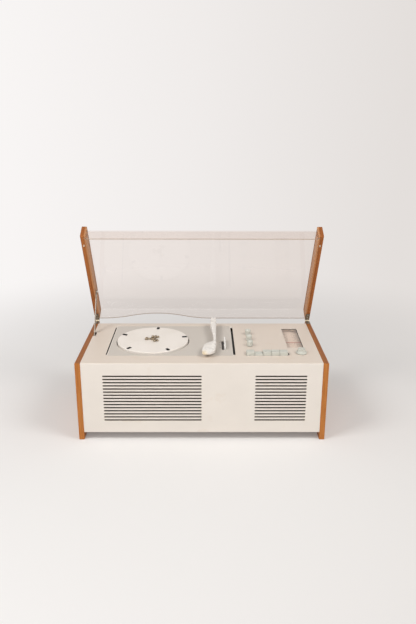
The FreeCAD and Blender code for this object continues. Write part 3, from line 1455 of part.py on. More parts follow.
frame_x = ("window_left - frame_border", "window_right + frame_border")
frame_y = ("window_y - frame_border", "window_back + frame_border")
rim = box("frame_block", frame_x, frame_y, ("glass_top", "deck_low"))
gap = box("frame_gap", ("window_left", "window_right"), ("window_y", "window_back"),
          ("glass_top - overcut", "deck_low + overcut"))
piece(cut("frame", rim, gap), "dial_frame")
piece(box("glass", frame_x, frame_y, ("glass_low", "glass_top")), "dial_window")
scale_x = ("window_left - scale_border", "window_right + scale_border * 2")
scale_y = ("window_y - scale_border", "window_back + scale_border")
bracket = [
    box("bracket_plate", scale_x, scale_y, ("bracket_top - bracket_sheet", "bracket_top")),
    box("bracket_tongue", ("tune_x - tune_radius", scale_x[1]), ("tune_y - tune_radius", scale_y[0]),
        ("bracket_top - bracket_sheet", "bracket_top")),
]
for x in (f"{scale_x[0]} + bracket_post", f"{scale_x[1]} - bracket_post"):
    for y in (f"{scale_y[0]} + bracket_post", f"{scale_y[1]} - bracket_post"):
        bracket.append(rod("bracket_leg", "bracket_post", x, y, ("bracket_top - overcut", "deck_low")))
rail_y = ("window_y - frame_border", "window_back + frame_border")
bracket.append(rod("pointer_bar", "pointer_rail", "rail_x", rail_y, "needle_z"))
for y in ((rail_y[0], f"{rail_y[0]} + sheet"), (f"{rail_y[1]} - sheet", rail_y[1])):
    bracket.append(box("rail_post", ("rail_x - sheet * 1.5", "rail_x + sheet * 1.5"), y,
                       ("bracket_top - overcut", "needle_z + sheet * 1.5")))
tune_way = rod("tune_way", "tune_shaft + running_fit", "tune_x", "tune_y",
               ("bracket_top - bracket_sheet - overcut", "bracket_top + overcut"))
drum_way = rod("drum_way", "capacitor_shaft + hole_slack", "drum_x", "drum_y",
               ("bracket_top - bracket_sheet - overcut", "bracket_top + overcut"))
piece(cut("bracket", fuse("bracket_blank", *bracket), tune_way, drum_way), "dial_bracket")
piece(box("scale", ("window_left - frame_border", "window_right + frame_border / 2"),
          ("window_y - frame_border", "window_back + scale_border"),
          ("bracket_top", "bracket_top + scale_thick")), "dial_scale")
carriage = box("carriage", ("rail_x - carriage_size / 2", "rail_x + carriage_size / 2"),
               ("needle_y - carriage_length / 2", "needle_y + carriage_length / 2"),
               ("needle_z - carriage_size / 2", "needle_z + carriage_size / 2"))
needle = box("needle", ("window_left - frame_border / 2", "rail_x"),
             ("needle_y - needle_width / 2", "needle_y + needle_width / 2"),
             ("needle_z - needle_height / 2", "needle_z + needle_height / 2"))
carriage_bore = rod("carriage_bore", "pointer_rail + running_fit", "rail_x",
                    ("needle_y - carriage_length", "needle_y + carriage_length"), "needle_z")
piece(cut("pointer", fuse("pointer_blank", carriage, needle), carriage_bore), "dial_pointer")

knob = turned(
    "tuning",
    ("0", "knob_lift + tune_height"),
    ("tune_top_radius - tune_edge", "knob_lift + tune_height"),
    ("tune_top_radius", "knob_lift + tune_height - tune_edge"),
    ("tune_top_radius + tune_edge", "knob_lift + tune_skirt + tune_edge"),
    ("tune_radius - tune_skirt_edge", "knob_lift + tune_skirt"),
    ("tune_radius", "knob_lift + tune_skirt - tune_skirt_edge"),
    ("tune_radius", "knob_lift"),
    ("tune_shaft", "knob_lift"),
    ("tune_shaft", "drum_thick - drum_drop"),
    ("tune_pulley", "drum_thick - drum_drop"),
    ("tune_pulley", "-drum_drop"),
    ("0", "-drum_drop"),
)
piece(put(knob, "tune_x", "tune_y", "deck_top"), "tuning_knob")
drum = turned(
    "drum",
    ("0", "drum_thick"),
    ("drum_radius", "drum_thick"),
    ("drum_radius", "drum_thick * 0.75"),
    ("drum_radius - drum_groove", "drum_thick * 0.6"),
    ("drum_radius - drum_groove", "drum_thick * 0.4"),
    ("drum_radius", "drum_thick * 0.25"),
    ("drum_radius", "0"),
    ("capacitor_shaft", "0"),
    ("capacitor_shaft", "-capacitor_gap * 3"),
    ("0", "-capacitor_gap * 3"),
)
piece(put(drum, "drum_x", "drum_y", "drum_z"), "tuning_drum")
gang = box("gang", ("drum_x - capacitor_width / 2", "drum_x + capacitor_width / 2"),
           ("drum_y - capacitor_depth / 2", "drum_y + capacitor_depth / 2"),
           ("chassis_top", "drum_z - capacitor_gap"))
gang_bore = rod("gang_bore", "capacitor_shaft + running_fit", "drum_x", "drum_y",
                ("drum_z - capacitor_gap * 3 - hole_slack", "drum_z"))
piece(cut("capacitor", gang, gang_bore), "tuning_capacitor")

# Radio works on their chassis

chassis_x = ("chassis_x", "chassis_end")
chassis_y = ("chassis_y", "chassis_rear")
chassis = fuse(
    "chassis",
    box("chassis_plate", chassis_x, chassis_y, ("chassis_top - sheet", "chassis_top")),
    box("chassis_left_wall", ("chassis_x", "chassis_x + sheet"), chassis_y, ("floor_top", "chassis_top")),
    box("chassis_right_wall", ("chassis_end - sheet", "chassis_end"), chassis_y,
        ("floor_top", "chassis_top")),
)
piece(chassis, "radio_chassis")
core_y = "chassis_y + transformer_front"
mains = box("mains_core", ("chassis_end - sheet - mains_width", "chassis_end - sheet"),
            (core_y, f"{core_y} + mains_depth"), ("chassis_top", "chassis_top + mains_height"))
output = box("output_core", ("chassis_x + sheet", "chassis_x + sheet + output_width"),
             (core_y, f"{core_y} + output_depth"), ("chassis_top", "chassis_top + output_height"))
piece(group("transformers", mains, output), "transformers")
glass = []
for number in range(SIZES["valve_count"]):
    bulb = turned(
        f"valve_{number + 1}",
        ("0", "valve_height"),
        ("valve_radius * 0.6", "valve_height - valve_dome * 0.25"),
        ("valve_radius", "valve_height - valve_dome"),
        ("valve_radius", "0"),
        ("0", "0"),
    )
    glass.append(put(bulb, f"chassis_x + valve_left + {number} * valve_pitch", "chassis_y + valve_front",
                     "chassis_top"))
piece(group("valves", *glass), "valves")

doc.recompute()
for thing in doc.Objects:
    if "Invalid" in thing.State or "Error" in thing.State:
        raise RuntimeError(f"{thing.Label} did not compute: {thing.State}")
os.makedirs("parts", exist_ok=True)
for thing in pieces:
    shape = thing.Shape
    if shape.isNull() or not shape.isValid() or not shape.Solids:
        raise RuntimeError(f"{thing.Label} has no valid solid")
    shape.exportStep(f"parts/{thing.Label}.step")
print(len(pieces), "pieces written")
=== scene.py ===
import json
import math

import bmesh
import bpy
from mathutils import Euler, Matrix, Vector


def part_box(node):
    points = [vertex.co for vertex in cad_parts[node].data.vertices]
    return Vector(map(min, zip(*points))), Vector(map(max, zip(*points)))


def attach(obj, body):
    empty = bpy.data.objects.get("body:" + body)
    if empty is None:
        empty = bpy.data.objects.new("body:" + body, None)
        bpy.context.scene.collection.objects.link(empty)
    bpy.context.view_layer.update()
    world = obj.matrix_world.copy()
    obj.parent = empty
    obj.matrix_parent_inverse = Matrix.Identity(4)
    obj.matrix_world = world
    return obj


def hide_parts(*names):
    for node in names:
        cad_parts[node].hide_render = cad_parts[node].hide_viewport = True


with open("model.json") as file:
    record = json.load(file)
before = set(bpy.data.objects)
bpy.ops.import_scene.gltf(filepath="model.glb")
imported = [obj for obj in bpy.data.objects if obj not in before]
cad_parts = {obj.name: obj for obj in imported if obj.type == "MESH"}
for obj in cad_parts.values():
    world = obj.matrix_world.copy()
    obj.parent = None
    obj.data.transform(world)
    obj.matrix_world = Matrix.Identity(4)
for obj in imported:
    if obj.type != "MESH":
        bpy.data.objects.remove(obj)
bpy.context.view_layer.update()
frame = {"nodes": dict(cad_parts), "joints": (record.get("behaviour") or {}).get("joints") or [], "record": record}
nodes = frame["nodes"]

# Shapes are drawn in millimetres in the common frame and scaled to metres when they are finished.
MM = 0.001
WELD = 0.0005
FLAT_ANGLE = math.radians(32)

joints = {joint["name"]: joint for joint in frame["joints"]}


def joint_place(name, height=None):
    """Where a joint's axis is, in millimetres, at its own height or the one given."""
    place = Vector(joints[name]["pos_m"]) / MM
    return place if height is None else Vector((place.x, place.y, height))


def corners(name):
    """A node's lowest and highest corners at rest, in millimetres."""
    return [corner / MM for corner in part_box(name)]


# How far the lid is open at rest, in radians
LID_OPEN = math.radians(-joints["lid_hinge"]["range_deg"][0])
LID_TURN = (-LID_OPEN, 0, 0)

# Platter pads: how many, and the first one's turn in degrees
PAD_COUNT = 5
PAD_TURN = 12.5

# Places and sizes on the player, in millimetres
DECK = corners("turntable_plate")[1].z
CHEEK_X = sum(corner.x for corner in corners("right_cheek")) / 2
HINGE = joint_place("lid_hinge")
PLATTER = joint_place("platter_spin")
ARM = joint_place("arm_swing", corners("tonearm")[0].z)
TUNING = joint_place("tuning_turn", DECK)
# The plate's middle and how far from it its ends are; the ends get a painted highlight over the two widths below
PLATE_MIDDLE = -75.2
PLATE_GLINT_REACH = 150.0
GLINT_FADE = (2.6, 1.2)
PALE_SIDE = (283.5, 281.5)
CUT_EDGE = (26.0, 24.0)
SILVERED = (94.0, 100.0)
FINGER_EDGE = Vector((2.0, -133.0, 207.0))
PAD_CIRCLE = 80.0
SLOT_PITCH = 8.0
CLOTH_SLACK = 0.1
CLOTH_THREAD = 0.5
INK = 0.05
LETTER_LIFT = 0.03
LEFT_CLOTH = (-238.0, 7.5)
RIGHT_CLOTH = (115.5, 251.5)
LEAF_SCREWS = (8.4, 19.4)
LEAF_HEAD = 197.35
LID_LEAF_HEAD = 0.65
PANEL_SCREW_X = 273.0
REAR_SCREW_Y = 114.4
REAR_SCREWS = (48.0, 160.0)
FLOOR_SCREW_Z = 18.95
FLOOR_SCREWS = (-115.15, 73.35)

# The photograph's camera: its place in metres, its turns in degrees and its lens in millimetres
EYE = (0.00563, -1.5162, 0.7699)
EYE_TURN = -0.34
EYE_DOWN = 18.39
EYE_ROLL = 0.15
LENS = 36.94
SENSOR = 36.0

# Studio: the lamps' aim and the floor's half width in metres, the lamps' colour, and the X of the
# directions where the backdrop's colours end
LIT_POINT = (0, 0, 0.18)
LAMP_COLOUR = (1.0, 0.985, 0.965)
FLOOR_REACH = 30
BACKDROP_REACH = 0.285


# Camera, light and floor

def set_camera():
    """Stand where the photograph was taken from."""
    lens = bpy.data.cameras.new("photo_lens")
    lens.lens = LENS
    lens.sensor_width = SENSOR
    eye = bpy.data.objects.new("photo_eye", lens)
    bpy.context.scene.collection.objects.link(eye)
    turn = Matrix.Rotation(math.radians(EYE_TURN), 4, "Z")
    tilt = Matrix.Rotation(math.radians(90 - EYE_DOWN), 4, "X")
    roll = Matrix.Rotation(math.radians(EYE_ROLL), 4, "Z")
    eye.matrix_world = Matrix.Translation(EYE) @ turn @ tilt @ roll
    bpy.context.scene.camera = eye


def node(tree, kind, wires=None, **settings):
    """Add a node; wires gives each input a link or a plain value."""
    made = tree.nodes.new("ShaderNode" + kind)
    for key, value in settings.items():
        setattr(made, key, value)
    for socket, value in (wires or {}).items():
        if isinstance(value, bpy.types.NodeSocket):
            tree.links.new(value, made.inputs[socket])
        else:
            made.inputs[socket].default_value = value
    return made


def seen_rays(tree):
    """1 for rays from the camera, mirrors and clear sheets, 0 for rays that light the part."""
    ray = node(tree, "LightPath")
    first = node(tree, "Math", {0: ray.outputs["Is Camera Ray"], 1: ray.outputs["Is Glossy Ray"]},
                 operation="MAXIMUM")
    return node(tree, "Math", {0: first.outputs[0], 1: ray.outputs["Is Transmission Ray"]},
                operation="MAXIMUM").outputs[0]


def backdrop(tree, across):
    """The backdrop's colour, which falls off from left to right as painted shade; across is the X of a direction.
    """
    return ramp(tree, spread(tree, across, -BACKDROP_REACH, BACKDROP_REACH),
                (0.0, (0.94, 0.915, 0.906)), (0.5, (0.868, 0.837, 0.822)), (1.0, (0.775, 0.738, 0.715)))


def set_light():
    """A pale room with a lamp at each side of the player and a broad one behind the camera."""
    world = bpy.data.worlds.new("pale_room")
    bpy.context.scene.world = world
    world.use_nodes = True
    tree = world.node_tree
    tree.nodes.clear()
    way = node(tree, "SeparateXYZ", {0: node(tree, "TexCoord").outputs["Generated"]}).outputs
    shown = node(tree, "Background", {"Color": backdrop(tree, way["X"]), "Strength": 1.0})
    lit = node(tree, "Background", {"Color": (1.0, 0.985, 0.97, 1), "Strength": 0.25})
    both = node(tree, "MixShader", {0: seen_rays(tree), 1: lit.outputs[0], 2: shown.outputs[0]})
    node(tree, "OutputWorld", {"Surface": both.outputs[0]})
    # name, place, side and power of each lamp
    lamps = (
        ("left_softbox", (-1.45, -1.0, 2.07), 1.0, 30),
        ("right_softbox", (1.45, -0.95, 2.07), 1.0, 26),
        ("front_softbox", (-0.3, -2.8, 1.5), 2.0, 24),
    )
    for name, place, side, power in lamps:
        lamp = bpy.data.lights.new(name, "AREA")
        lamp.size = side
        lamp.energy = power
        lamp.color = LAMP_COLOUR
        holder = bpy.data.objects.new(name, lamp)
        bpy.context.scene.collection.objects.link(holder)
        aim = Vector(LIT_POINT) - Vector(place)
        holder.matrix_world = Matrix.Translation(place) @ aim.to_track_quat("-Z", "Y").to_matrix().to_4x4()


def lay_floor():
    """A wide pale floor that fades into the backdrop, and glows a little near the player as painted light on its
    shadows.
    """
    look = bpy.data.materials.new("pale_floor")
    look.use_nodes = True
    tree = look.node_tree
    tree.nodes.clear()
    coords = node(tree, "TexCoord").outputs["Object"]
    away = node(tree, "VectorMath", {0: coords}, operation="LENGTH").outputs["Value"]
    # The floor glows at least this much near the player, which lightens its shadows: painted light.
    fade = node(tree, "MapRange", {"Value": away, "From Min": 0.3, "From Max": 1.5, "To Min": 0.16},
                interpolation_type="SMOOTHSTEP")
    paper = node(tree, "BsdfDiffuse", {"Color": (0.832, 0.817, 0.805, 1)})
    apart = node(tree, "VectorMath", {0: coords, 1: EYE}, operation="SUBTRACT").outputs["Vector"]
    way = node(tree, "VectorMath", {0: apart}, operation="NORMALIZE").outputs["Vector"]
    across = node(tree, "SeparateXYZ", {0: way}).outputs["X"]
    glow = node(tree, "Emission", {"Color": backdrop(tree, across), "Strength": 1.0})
    both = node(tree, "MixShader", {0: fade.outputs[0], 1: paper.outputs[0], 2: glow.outputs[0]})
    node(tree, "OutputMaterial", {"Surface": both.outputs[0]})
    bm = bmesh.new()
    bmesh.ops.create_grid(bm, x_segments=4, y_segments=4, size=FLOOR_REACH)
    mesh = bpy.data.meshes.new("floor")
    bm.to_mesh(mesh)
    bm.free()
    floor = bpy.data.objects.new("floor", mesh)
    mesh.materials.append(look)
    bpy.context.scene.collection.objects.link(floor)


# Finishes

def finish(name, colour, rough, **sockets):
    """A Principled material with its plain values set on the shader."""
    look = bpy.data.materials.new(name)
    look.use_nodes = True
    shader = look.node_tree.nodes["Principled BSDF"]
    shader.inputs["Base Color"].default_value = (*colour, 1)
    shader.inputs["Roughness"].default_value = rough
    for key, value in sockets.items():
        shader.inputs[key.replace("_", " ")].default_value = value
    return look, look.node_tree, shader


def pattern(tree, size, turn=(0, 0, 0), detail=4.0, rough=0.55, warp=0.0):
    """A noise whose features have the given size in metres along each axis."""
    coords = node(tree, "TexCoord").outputs["Object"]
    place = node(tree, "Mapping", {"Vector": coords, "Rotation": turn, "Scale": size}, vector_type="TEXTURE")
    noise = node(tree, "TexNoise", {"Vector": place.outputs[0], "Scale": 1.0, "Detail": detail,
                                    "Roughness": rough, "Distortion": warp})
    return noise.outputs["Fac"]


def ramp(tree, value, *stops):
    """Colours spread along a value."""
    made = node(tree, "ValToRGB", {"Fac": value})
    steps = made.color_ramp.elements
    while len(steps) < len(stops):
        steps.new(0.5)
    for step, (place, colour) in zip(steps, stops):
        step.position = place
        step.color = (*colour, 1)
    return made.outputs["Color"]


def spread(tree, value, low, high, to_low=0.0, to_high=1.0):
    """Stretch part of a value's range."""
    made = node(tree, "MapRange", {"Value": value, "From Min": low, "From Max": high,
                                   "To Min": to_low, "To Max": to_high})
    return made.outputs[0]


def tint(tree, base, colour, mask):
    """Lay a colour over another where a mask says so."""
    made = node(tree, "Mix", {0: mask, 6: base, 7: (*colour, 1)}, data_type="RGBA")
    return made.outputs[2]


def math_node(tree, operation, first, second):
    """The result of a sum with two values."""
    return node(tree, "Math", {0: first, 1: second}, operation=operation).outputs[0]


def wire(tree, shader, colour=None, rough=None, height=None, depth=0.0001, strength=1.0):
    """Give a shader its patterns of colour, roughness and relief."""
    if colour is not None:
        tree.links.new(colour, shader.inputs["Base Color"])
    if rough is not None:
        tree.links.new(rough, shader.inputs["Roughness"])
    if height is not None:
        relief = node(tree, "Bump", {"Height": height, "Strength": strength, "Distance": depth})
        tree.links.new(relief.outputs[0], shader.inputs["Normal"])


def facing(tree, axis):
    """How far a surface faces along an axis of the piece."""
    normal = node(tree, "TexCoord").outputs["Normal"]
    return node(tree, "VectorMath", {0: normal, 1: axis}, operation="DOT_PRODUCT").outputs["Value"]


def wood(name, turn, light, dark, pale=None):
    """Oiled board with growth rings, long fibres and pores along its own Y, edge strips, and painted shade on its
    tops.

    A pale colour tones the side that faces the middle of the player."""
    look, tree, shader = finish(name, light, 0.46, Specular_IOR_Level=0.2)
    coords = node(tree, "TexCoord").outputs["Object"]
    place = node(tree, "Mapping", {"Vector": coords, "Rotation": turn, "Location": (0.09, 0, -0.05),
                                   "Scale": (1.0, 9.0, 1.0)}, vector_type="TEXTURE")
    rings = node(tree, "TexWave", {"Vector": place.outputs[0], "Scale": 42.0, "Distortion": 5.5,
                                   "Detail": 3.0, "Detail Scale": 0.9, "Detail Roughness": 0.6},
                 wave_type="RINGS", rings_direction="Y", wave_profile="SAW").outputs["Fac"]
    fibre = pattern(tree, (0.0014, 0.045, 0.0014), turn, 5.0, 0.62)
    broad = pattern(tree, (0.03, 0.16, 0.03), turn, 2.0)
    pore = pattern(tree, (0.0006, 0.011, 0.0006), turn, 2.0, 0.5)
    tone = math_node(tree, "MULTIPLY", rings, 0.34)
    tone = math_node(tree, "ADD", tone, math_node(tree, "MULTIPLY", fibre, 0.5))
    tone = math_node(tree, "ADD", tone, math_node(tree, "MULTIPLY", broad, 0.3))
    middle = tuple((a + b) / 2 for a, b in zip(light, dark))
    colour = ramp(tree, tone, (0.34, dark), (0.55, middle), (0.80, light))
    ends = Euler(turn).to_matrix() @ Vector((0, 1, 0))
    band = spread(tree, math_node(tree, "ABSOLUTE", facing(tree, ends), 0.0), 0.7, 0.9)
    strip = pattern(tree, (0.0011, 0.0011, 0.06), turn, 4.0, 0.6)
    edging = ramp(tree, strip, (0.25, dark), (0.65, light))
    colour = node(tree, "Mix", {0: band, 6: colour, 7: edging}, data_type="RGBA").outputs[2]
    # Surfaces that face up are darkened: painted shade.
    painted_top_shade = math_node(tree, "MULTIPLY", spread(tree, facing(tree, (0, 0, 1)), 0.6, 0.95), 0.62)
    colour = tint(tree, colour, tuple(0.6 * c for c in dark), painted_top_shade)
    if pale:
        across = node(tree, "SeparateXYZ", {0: coords}).outputs["X"]
        inner = spread(tree, math_node(tree, "ABSOLUTE", across, 0.0), *(x * MM for x in PALE_SIDE))
        colour = tint(tree, colour, pale, math_node(tree, "MULTIPLY", inner, 0.6))
    holes = spread(tree, pore, 0.62, 0.72)
    colour = tint(tree, colour, tuple(0.55 * c for c in dark), math_node(tree, "MULTIPLY", holes, 0.55))
    height = math_node(tree, "SUBTRACT", math_node(tree, "MULTIPLY", fibre, 0.6), holes)
    wire(tree, shader, colour, spread(tree, fibre, 0.3, 0.7, 0.38, 0.56), height, 0.00012, 0.5)
    return look


def paint(name, colour, top_shade_colour, rough=0.42, peel=0.0016, relief=0.35, rim=None):
    """Sprayed enamel: faint orange peel, soft smudges and a darker, warmer tone on surfaces that face up, as
    painted shade.

    A rim gives the middle of a sheet and how far from it, in millimetres, its two ends get a painted highlight."""
    look, tree, shader = finish(name, colour, rough, Specular_IOR_Level=0.45)
    # Surfaces that face up take the darker, warmer top colour as painted shade.
    up = spread(tree, facing(tree, (0, 0, 1)), 0.35, 0.9)
    cloud = pattern(tree, (0.09, 0.09, 0.06), (0, 0, 0), 3.0)
    base = tint(tree, ramp(tree, cloud, (0.3, tuple(0.965 * c for c in colour)), (0.7, colour)), top_shade_colour, up)
    smudge = spread(tree, pattern(tree, (0.05, 0.05, 0.035), (0, 0, 0), 5.0, 0.6), 0.60, 0.78)
    base = tint(tree, base, tuple(c * k for c, k in zip(top_shade_colour, (0.93, 0.86, 0.76))),
                math_node(tree, "MULTIPLY", smudge, 0.35))
    # Painted highlight along the sheet's two ends.
    if rim:
        across = node(tree, "SeparateXYZ", {0: node(tree, "TexCoord").outputs["Object"]}).outputs["X"]
        middle, reach = rim
        away = math_node(tree, "ABSOLUTE", math_node(tree, "SUBTRACT", across, middle * MM), 0.0)
        edge_glint = spread(tree, away, *((reach - fade) * MM for fade in GLINT_FADE))
        base = tint(tree, base, tuple(1.25 * c for c in colour), edge_glint)
    skin = pattern(tree, (peel, peel, peel), (0, 0, 0), 2.0)
    gloss = spread(tree, cloud, 0.3, 0.7, rough - 0.05, rough + 0.06)
    wire(tree, shader, base, gloss, skin, 0.00006, relief)
    return look


def plastic(name, colour, rough, spot=0.0022, relief=0.25, shade=0.93):
    """Moulded plastic with a fine grain and a slight drift of colour."""
    look, tree, shader = finish(name, colour, rough, Specular_IOR_Level=0.5)
    drift = pattern(tree, (0.012, 0.012, 0.012), (0, 0, 0), 3.0)
    grain = pattern(tree, (spot, spot, spot), (0, 0, 0), 4.0, 0.6)
    colours = ramp(tree, drift, (0.3, tuple(shade * c for c in colour)), (0.7, colour))
    gloss = spread(tree, grain, 0.3, 0.7, rough - 0.06, rough + 0.08)
    wire(tree, shader, colours, gloss, grain, 0.00004, relief)
    return look


def metal(name, colour, rough, streak=(0.0006, 0.02, 0.0006), turn=(0, 0, 0), stain=(0.6, 0.5, 0.4)):
    """Plated or bare metal with fine drawing lines and faint stains."""
    look, tree, shader = finish(name, colour, rough, Metallic=1.0)
    lines = pattern(tree, streak, turn, 3.0)
    cloud = spread(tree, pattern(tree, (0.008, 0.008, 0.008), (0, 0, 0), 5.0, 0.6), 0.45, 0.75)
    base = ramp(tree, lines, (0.3, tuple(0.88 * c for c in colour)), (0.7, colour))
    stained = tuple(c * s for c, s in zip(colour, stain))
    base = tint(tree, base, stained, math_node(tree, "MULTIPLY", cloud, 0.5))
    wire(tree, shader, base, spread(tree, cloud, 0.0, 1.0, rough, rough + 0.18), lines, 0.00002, 0.3)
    return look


def rubber(name, colour, rough=0.72):
    """Matt rubber with a little dust."""
    look, tree, shader = finish(name, colour, rough, Specular_IOR_Level=0.3)
    dust = spread(tree, pattern(tree, (0.003, 0.003, 0.003), (0, 0, 0), 6.0, 0.7), 0.5, 0.8)
    base = tint(tree, ramp(tree, dust, (0.0, colour), (1.0, tuple(1.5 * c + 0.01 for c in colour))),
                (0.20, 0.19, 0.17), math_node(tree, "MULTIPLY", dust, 0.12))
    skin = pattern(tree, (0.0005, 0.0005, 0.0005), (0, 0, 0), 2.0)
    wire(tree, shader, base, spread(tree, dust, 0.0, 1.0, rough - 0.08, rough + 0.12), skin, 0.00005, 0.4)
    return look


def pressed_board(name, colour):
    """Brown hardboard: matted fibres with darker flecks."""
    look, tree, shader = finish(name, colour, 0.78, Specular_IOR_Level=0.25)
    fibre = pattern(tree, (0.0035, 0.0009, 0.0022), (0, 0, 0.4), 6.0, 0.7)
    fleck = spread(tree, pattern(tree, (0.0016, 0.0016, 0.0016), (0, 0, 0), 3.0, 0.6), 0.62, 0.74)
    base = ramp(tree, fibre, (0.3, tuple(0.62 * c for c in colour)), (0.55, colour),
                (0.75, tuple(1.3 * c for c in colour)))
    base = tint(tree, base, tuple(0.4 * c for c in colour), math_node(tree, "MULTIPLY", fleck, 0.6))
    wire(tree, shader, base, spread(tree, fibre, 0.3, 0.7, 0.66, 0.86), fibre, 0.00015, 0.6)
    return look


def weave(name, colour):
    """Dark grille cloth with crossing threads."""
    look, tree, shader = finish(name, colour, 0.85, Sheen_Weight=0.25, Specular_IOR_Level=0.2)
    coords = node(tree, "TexCoord").outputs["Object"]
    threads = []
    for way in ("X", "Z"):
        thread = node(tree, "TexWave", {"Vector": coords, "Scale": 310.0, "Distortion": 0.4, "Detail": 1.0},
                      wave_type="BANDS", bands_direction=way)
        threads.append(thread.outputs["Fac"])
    cross = math_node(tree, "MULTIPLY", threads[0], threads[1])
    base = ramp(tree, cross, (0.05, tuple(0.35 * c for c in colour)), (0.8, tuple(1.4 * c for c in colour)))
    wire(tree, shader, base, None, cross, 0.0003, 0.8)
    return look


def lid_frame(tree):
    """Coordinates and normal in the lid's own upright frame, in metres from the hinge."""
    coords = node(tree, "TexCoord")
    place = node(tree, "Mapping", {"Vector": coords.outputs["Object"], "Location": tuple(HINGE * MM),
                                   "Rotation": LID_TURN}, vector_type="TEXTURE")
    turn = node(tree, "Mapping", {"Vector": coords.outputs["Normal"], "Rotation": LID_TURN},
                vector_type="TEXTURE")
    return place.outputs[0], turn.outputs[0]


def clear_sheet(name, passed, edge=None):
    """Clear acrylic that tints what is behind it; its cut edges look brown."""
    look = bpy.data.materials.new(name)
    look.use_nodes = True
    tree = look.node_tree
    tree.nodes.clear()
    see = node(tree, "BsdfTransparent", {"Color": (*passed, 1)})
    scuff = spread(tree, pattern(tree, (0.02, 0.02, 0.02), (0, 0, 0), 6.0, 0.65), 0.4, 0.8, 0.02, 0.07)
    shine = node(tree, "BsdfGlossy", {"Color": (1, 1, 1, 1), "Roughness": scuff})
    front = math_node(tree, "SUBTRACT", 1.0, node(tree, "NewGeometry").outputs["Backfacing"])
    mirror = math_node(tree, "MULTIPLY", node(tree, "Fresnel", {"IOR": 1.49}).outputs[0], front)
    sheet = node(tree, "MixShader", {0: mirror, 1: see.outputs[0], 2: shine.outputs[0]})
    if edge:
        place, normal = lid_frame(tree)
        parts = node(tree, "SeparateXYZ", {0: place}).outputs
        ways = node(tree, "SeparateXYZ", {0: normal}).outputs
        under = spread(tree, ways["Z"], -0.3, -0.6)
        low = spread(tree, parts["Z"], *(z * MM for z in CUT_EDGE))
        rim = math_node(tree, "MULTIPLY", math_node(tree, "MULTIPLY", under, low), 0.6)
        cut = node(tree, "BsdfPrincipled", {"Base Color": (*edge, 1), "Roughness": 0.3})
        sheet = node(tree, "MixShader", {0: rim, 1: sheet.outputs[0], 2: cut.outputs[0]})
    node(tree, "OutputMaterial", {"Surface": sheet.outputs[0]})
    return look


def hinge_metal():
    """Dark bronze leaves with a pale brass-coloured band round the pin, which is a painted highlight."""
    look, tree, shader = finish("bronze_hinge", (0.16, 0.13, 0.10), 0.38, Metallic=1.0)
    coords = node(tree, "TexCoord").outputs["Object"]
    # X is shrunk to almost nothing, so that the length below is the distance from the pin's axis
    place = node(tree, "Mapping", {"Vector": coords, "Location": tuple(HINGE * MM), "Scale": (1000, 1, 1)},
                 vector_type="TEXTURE")
    away = node(tree, "VectorMath", {0: place.outputs[0]}, operation="LENGTH").outputs["Value"]
    level = node(tree, "SeparateXYZ", {0: place.outputs[0]}).outputs["Z"]
    # A thin pale band along the knuckle, at the pin's height: painted highlight.
    band = spread(tree, math_node(tree, "ABSOLUTE", level, 0.0), 0.0014, 0.0007)
    near = math_node(tree, "MULTIPLY", spread(tree, away, 0.0035, 0.0027), band)
    cloud = pattern(tree, (0.003, 0.003, 0.003), (0, 0, 0), 5.0, 0.6)
    base = ramp(tree, cloud, (0.3, (0.20, 0.165, 0.13)), (0.7, (0.36, 0.31, 0.25)))
    base = tint(tree, base, (0.82, 0.74, 0.58), near)
    wire(tree, shader, base, spread(tree, cloud, 0.3, 0.7, 0.3, 0.5), cloud, 0.00003, 0.3)
    return look


def arm_finish():
    """Glossy white arm, yellowed at the finger edge of the head."""
    look, tree, shader = finish("arm_white", (0.82, 0.79, 0.75), 0.25, Coat_Weight=0.25, Coat_Roughness=0.12)
    coords = node(tree, "TexCoord").outputs["Object"]
    edge = FINGER_EDGE * MM
    apart = node(tree, "VectorMath", {0: coords, 1: edge}, operation="DISTANCE").outputs["Value"]
    near = spread(tree, apart, 0.015, 0.004)
    drift = pattern(tree, (0.02, 0.03, 0.02), (0, 0, 0), 3.0)
    base = ramp(tree, drift, (0.3, (0.78, 0.74, 0.69)), (0.7, (0.84, 0.81, 0.77)))
    base = tint(tree, base, (0.80, 0.66, 0.43), math_node(tree, "MULTIPLY", near, 0.8))
    grain = pattern(tree, (0.0012, 0.0012, 0.0012), (0, 0, 0), 3.0)
    wire(tree, shader, base, spread(tree, drift, 0.3, 0.7, 0.2, 0.32), grain, 0.00002, 0.2)
    return look


def turned_paint():
    """White platter enamel with faint turning rings."""
    look, tree, shader = finish("platter_white", (0.86, 0.81, 0.75), 0.36, Specular_IOR_Level=0.5)
    coords = node(tree, "TexCoord").outputs["Object"]
    place = node(tree, "Mapping", {"Vector": coords, "Location": tuple(PLATTER * MM)}, vector_type="TEXTURE")
    rings = node(tree, "TexWave", {"Vector": place.outputs[0], "Scale": 130.0, "Distortion": 0.6,
                                   "Detail": 2.0},
                 wave_type="RINGS", rings_direction="Z").outputs["Fac"]
    cloud = pattern(tree, (0.05, 0.05, 0.05), (0, 0, 0), 4.0)
    base = ramp(tree, cloud, (0.3, (0.82, 0.765, 0.70)), (0.7, (0.87, 0.82, 0.765)))
    wire(tree, shader, base, spread(tree, cloud, 0.3, 0.7, 0.3, 0.42), rings, 0.00002, 0.25)
    return look


def dial_print():
    """Cream scale plate with a soft drift of colour and a fine grain."""
    look, tree, shader = finish("dial_plate", (0.56, 0.45, 0.38), 0.55)
    cloud = pattern(tree, (0.02, 0.03, 0.02), (0, 0, 0), 4.0)
    base = ramp(tree, cloud, (0.3, (0.82, 0.68, 0.57)), (0.7, (0.88, 0.74, 0.64)))
    grain = pattern(tree, (0.0006, 0.0006, 0.0006), (0, 0, 0), 2.0)
    wire(tree, shader, base, spread(tree, grain, 0.3, 0.7, 0.45, 0.62), grain, 0.00002, 0.2)
    return look


